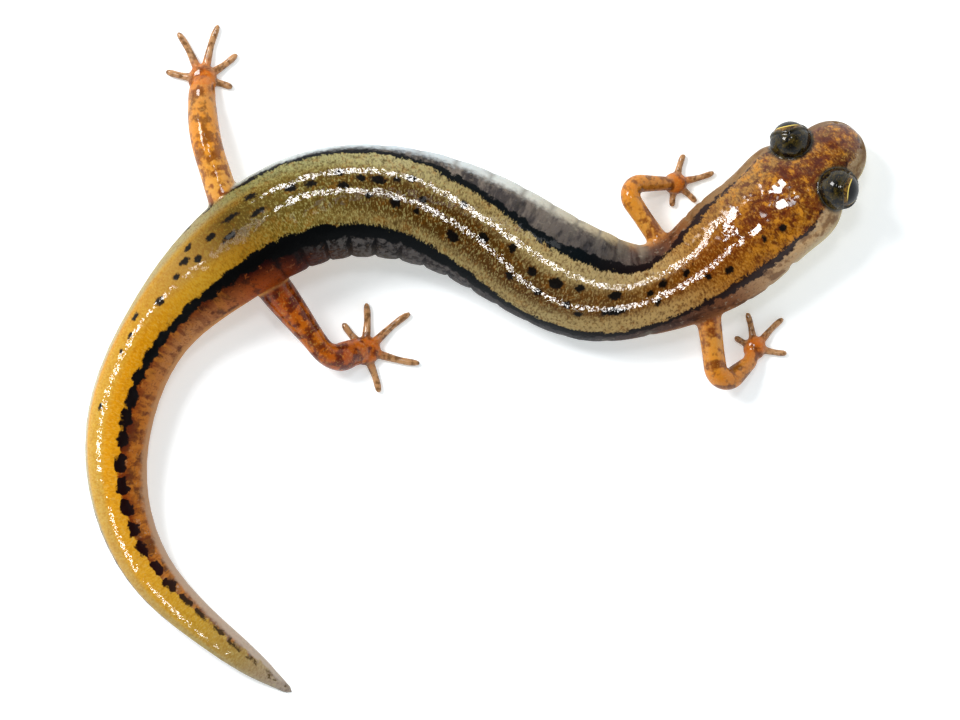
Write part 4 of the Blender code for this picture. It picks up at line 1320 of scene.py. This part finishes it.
print("lines and dots drawn, nodes so far:", len(hide.tree.nodes))

# %% [markdown]
# ## Legs, toes and lids
# The legs are orange with brown mottling, the right hind leg the reddest, and the toes are paler.
# The lids are nearly black. Each part has a mark on the mesh, so its colours are laid over the
# body's without a hard edge.

# %% Colour the legs and lids
leg = along_leg((0.0, 228, 128, 52), (0.2, 252, 182, 80), (0.45, 246, 158, 42), (0.78, 230, 156, 62),
                (0.92, 222, 150, 70), (1.0, 226, 122, 36))
red_leg = along_leg((0.0, 152, 40, 4), (0.3, 204, 110, 24), (0.6, 190, 88, 14), (0.85, 200, 104, 40),
                    (1.0, 216, 110, 26))
brown = along_leg((0.0, 130, 44, 4), (0.4, 140, 74, 4), (0.8, 126, 80, 20), (1.0, 132, 64, 20))
redness = hide.number("red_leg")
brown = hide.mix(redness, brown, seen(84, 26, 2))
leg = hide.layers(
    hide.mix(redness, leg, red_leg),
    (hide.noise(here, 1.3, 2.0, 0.5), 0.47, 0.60, 0.80, brown),
    (mottle, 0.52, 0.66, 0.60, brown),
    (grain, 0.46, 0.32, 0.25, seen(240, 190, 100)),
)
toe = hide.mix(hide.step(speck, 0.44, 0.62), seen(212, 160, 110), seen(140, 98, 60))
lid = hide.layers(
    seen(22, 20, 10),
    (speck, 0.44, 0.62, 1.0, seen(66, 56, 26)),
    (grain, 0.56, 0.70, 0.5, seen(112, 92, 50)),
)
colour = hide.mix(hide.number("leg"), colour, hide.mix(hide.number("toe"), leg, toe))
colour = hide.mix(hide.number("lid"), colour, lid)
print("legs and lids coloured, nodes so far:", len(hide.tree.nodes))

# %% [markdown]
# ## The film of water
# What makes the animal look alive is water. It stands on the ridges as a thin film that mirrors
# the lamp in a line of sparkles, broken where the film breaks. A gloss over all the skin would
# wash out its dark colours, so the clear coat is kept to the film, the head, the tail and the
# legs. In the film the mirror is turned to face the lamp and shaken by small drops.

# %% Lay the film
wander_share = hide.times(hide.step(along, 0.09, 0.13, 0.2, 0.7), hide.step(along, 0.52, 0.60, 1.0, 0.64))
wander = hide.times(hide.less(hide.noise(here, 1.9, 3.0, 0.6), 0.5), wander_share)
film_edge = hide.plus(hide.number("ridge"), wander)
small_gaps = hide.noise(here, 4.6, 2.0, 0.6)
broad_gaps = hide.less(hide.noise(here, 1.1, 0.0, 0.5), 0.11)
gaps = hide.mix(on_head, small_gaps, broad_gaps)
film = hide.times(hide.step(film_edge, 0.32, 0.14), hide.step(gaps, 0.41, 0.49))
wet = share_along((0, 0.7), (4, 0.6), (10, 0.45), (15, 0.05), (42, 0.05), (50, 0.04), (56, 0.2),
                  (62, 0.3), (88, 0.35))
wet = hide.times(wet, hide.step(around, 0.24, 0.36, 1.0, 0.2))
for name, share in (("leg", 0.5), ("lid", 0.45)):
    wet = hide.mix(hide.number(name), wet, (share,) * 3)
surface = hide.add("ShaderNodeNewGeometry", output="Normal")
to_lamp = hide.arrows("SCALE", tuple(FACING), scale=film)
as_it_lies = hide.arrows("SCALE", surface, scale=hide.less(1.0, film))
tops = hide.arrows("NORMALIZE", hide.arrows("ADD", to_lamp, as_it_lies))
small_drops = hide.times(film, hide.step(along, 0.10, 0.14, 0.05, 1.0))
drops = hide.bump(hide.noise(here, 5.4, 1.0), 0.042, small_drops, tops)
drops = hide.bump(hide.noise(here, 1.2, 1.0), 0.09, 1.0, drops)
print("film laid, nodes so far:", len(hide.tree.nodes))

# %% Finish the skin
bumps = hide.scaled(hide.cells(here, 6.0), 0.6, hide.times(grain, 0.8))
wrinkles = hide.noise(hide.stretch(lie_at, (5.0, 1.6, 1.6)), 1.0, 3.0, 0.6)
relief = hide.bump(bumps, 0.03, 0.6, hide.bump(wrinkles, 0.08, 0.5))
hide.finish(Base_Color=colour, Roughness=0.5, Normal=relief, Specular_IOR_Level=0.04,
            Subsurface_Weight=0.06, Subsurface_Scale=0.3 * MM, Subsurface_Radius=(1.0, 0.45, 0.2),
            Coat_Weight=hide.maths("MAXIMUM", wet, film), Coat_Roughness=0.10, Coat_IOR=1.6,
            Coat_Normal=drops)
final.materials.clear()
final.materials.append(hide.material)
final.shade_smooth()
write_points(final, points * MM)
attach(skin, "root")
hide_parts(*[name for name in frame["nodes"] if not name.startswith("eye_")])
print("skin ready:", len(hide.tree.nodes), "nodes in its finish")

# %% [markdown]
# ## Eyes
# The eye bulges between its lids, with a wide black pupil and a thin line of gold on its upper
# rim. A flat painted disc would look dead, so each eye is a whole ball whose colours follow the
# direction of its gaze, under a clear wet coat.

# %% Paint the eye
# half width and half height of the pupil, in degrees seen from the middle of the eye
PUPIL = (44.0, 31.0)
glass = Bench("eye_glass")
aside_at, above_at = glass.number("aside"), glass.number("above")
halves = [glass.maths("POWER", glass.maths("DIVIDE", angle, half), 2.0)
          for angle, half in zip((aside_at, above_at), PUPIL)]
from_pupil = glass.maths("SQRT", glass.plus(*halves))
streaks = glass.noise(glass.millimetres(), 5.0, 3.0, 0.6)
rim = glass.step(glass.plus(from_pupil, glass.times(streaks, 0.08)), 1.17, 1.10)
gold = glass.times(rim, glass.step(glass.maths("ABSOLUTE", aside_at), 40.0, 28.0))
iris = glass.layers(
    paint(50, 34, 14),
    (streaks, 0.38, 0.62, 1.0, paint(124, 92, 34)),
    (glass.maths("ABSOLUTE", above_at), 16.0, 6.0, 0.8, paint(20, 16, 12)),
)
iris = glass.layers(
    glass.mix(gold, iris, paint(232, 204, 96)),
    (from_pupil, 1.03, 0.97, 1.0, (0.002, 0.003, 0.004)),
    (from_pupil, 1.75, 2.0, 1.0, paint(26, 24, 18)),
)
glass.finish(Base_Color=iris, Roughness=0.4, Coat_Weight=0.3, Coat_Roughness=0.02,
             Specular_IOR_Level=0.1)
print("eye finish has", len(glass.tree.nodes), "nodes")

# %% Set the two eyes
BALL = 1.36
FORWARD_SET = 0.03
BULGE = 0.03
for name, eye in eyes.items():
    mesh = ball_mesh((0, 0, 0), (1, 1, 1), segments=72, rings=48)
    directions = read_points(mesh) @ np.stack([eye["fore"], eye["lifted"], eye["look"]])
    bulge = 1 + BULGE * fade(directions @ eye["look"], 0.55, 1.0)
    centre = eye["centre"] + eye["look"] * FORWARD_SET
    write_points(mesh, (centre + directions * BALL * bulge[:, None]) * MM)
    for mark, values in zip(("aside", "above"), eye_angles(eye, directions)):
        store(mesh, mark, values)
    mesh.name = "eyeball_" + name
    outward(mesh)
    mesh.materials.append(glass.material)
    mesh.shade_smooth()
    ball = piece("eyeball_" + name, mesh)
    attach(ball, "root")
    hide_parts("eye_" + name)
    print("eye", name, "faces", len(mesh.polygons))

# %% [markdown]
# ## Last update
# The dressed model must stay where the solids are.

# %% Update the scene
bpy.context.view_layer.update()
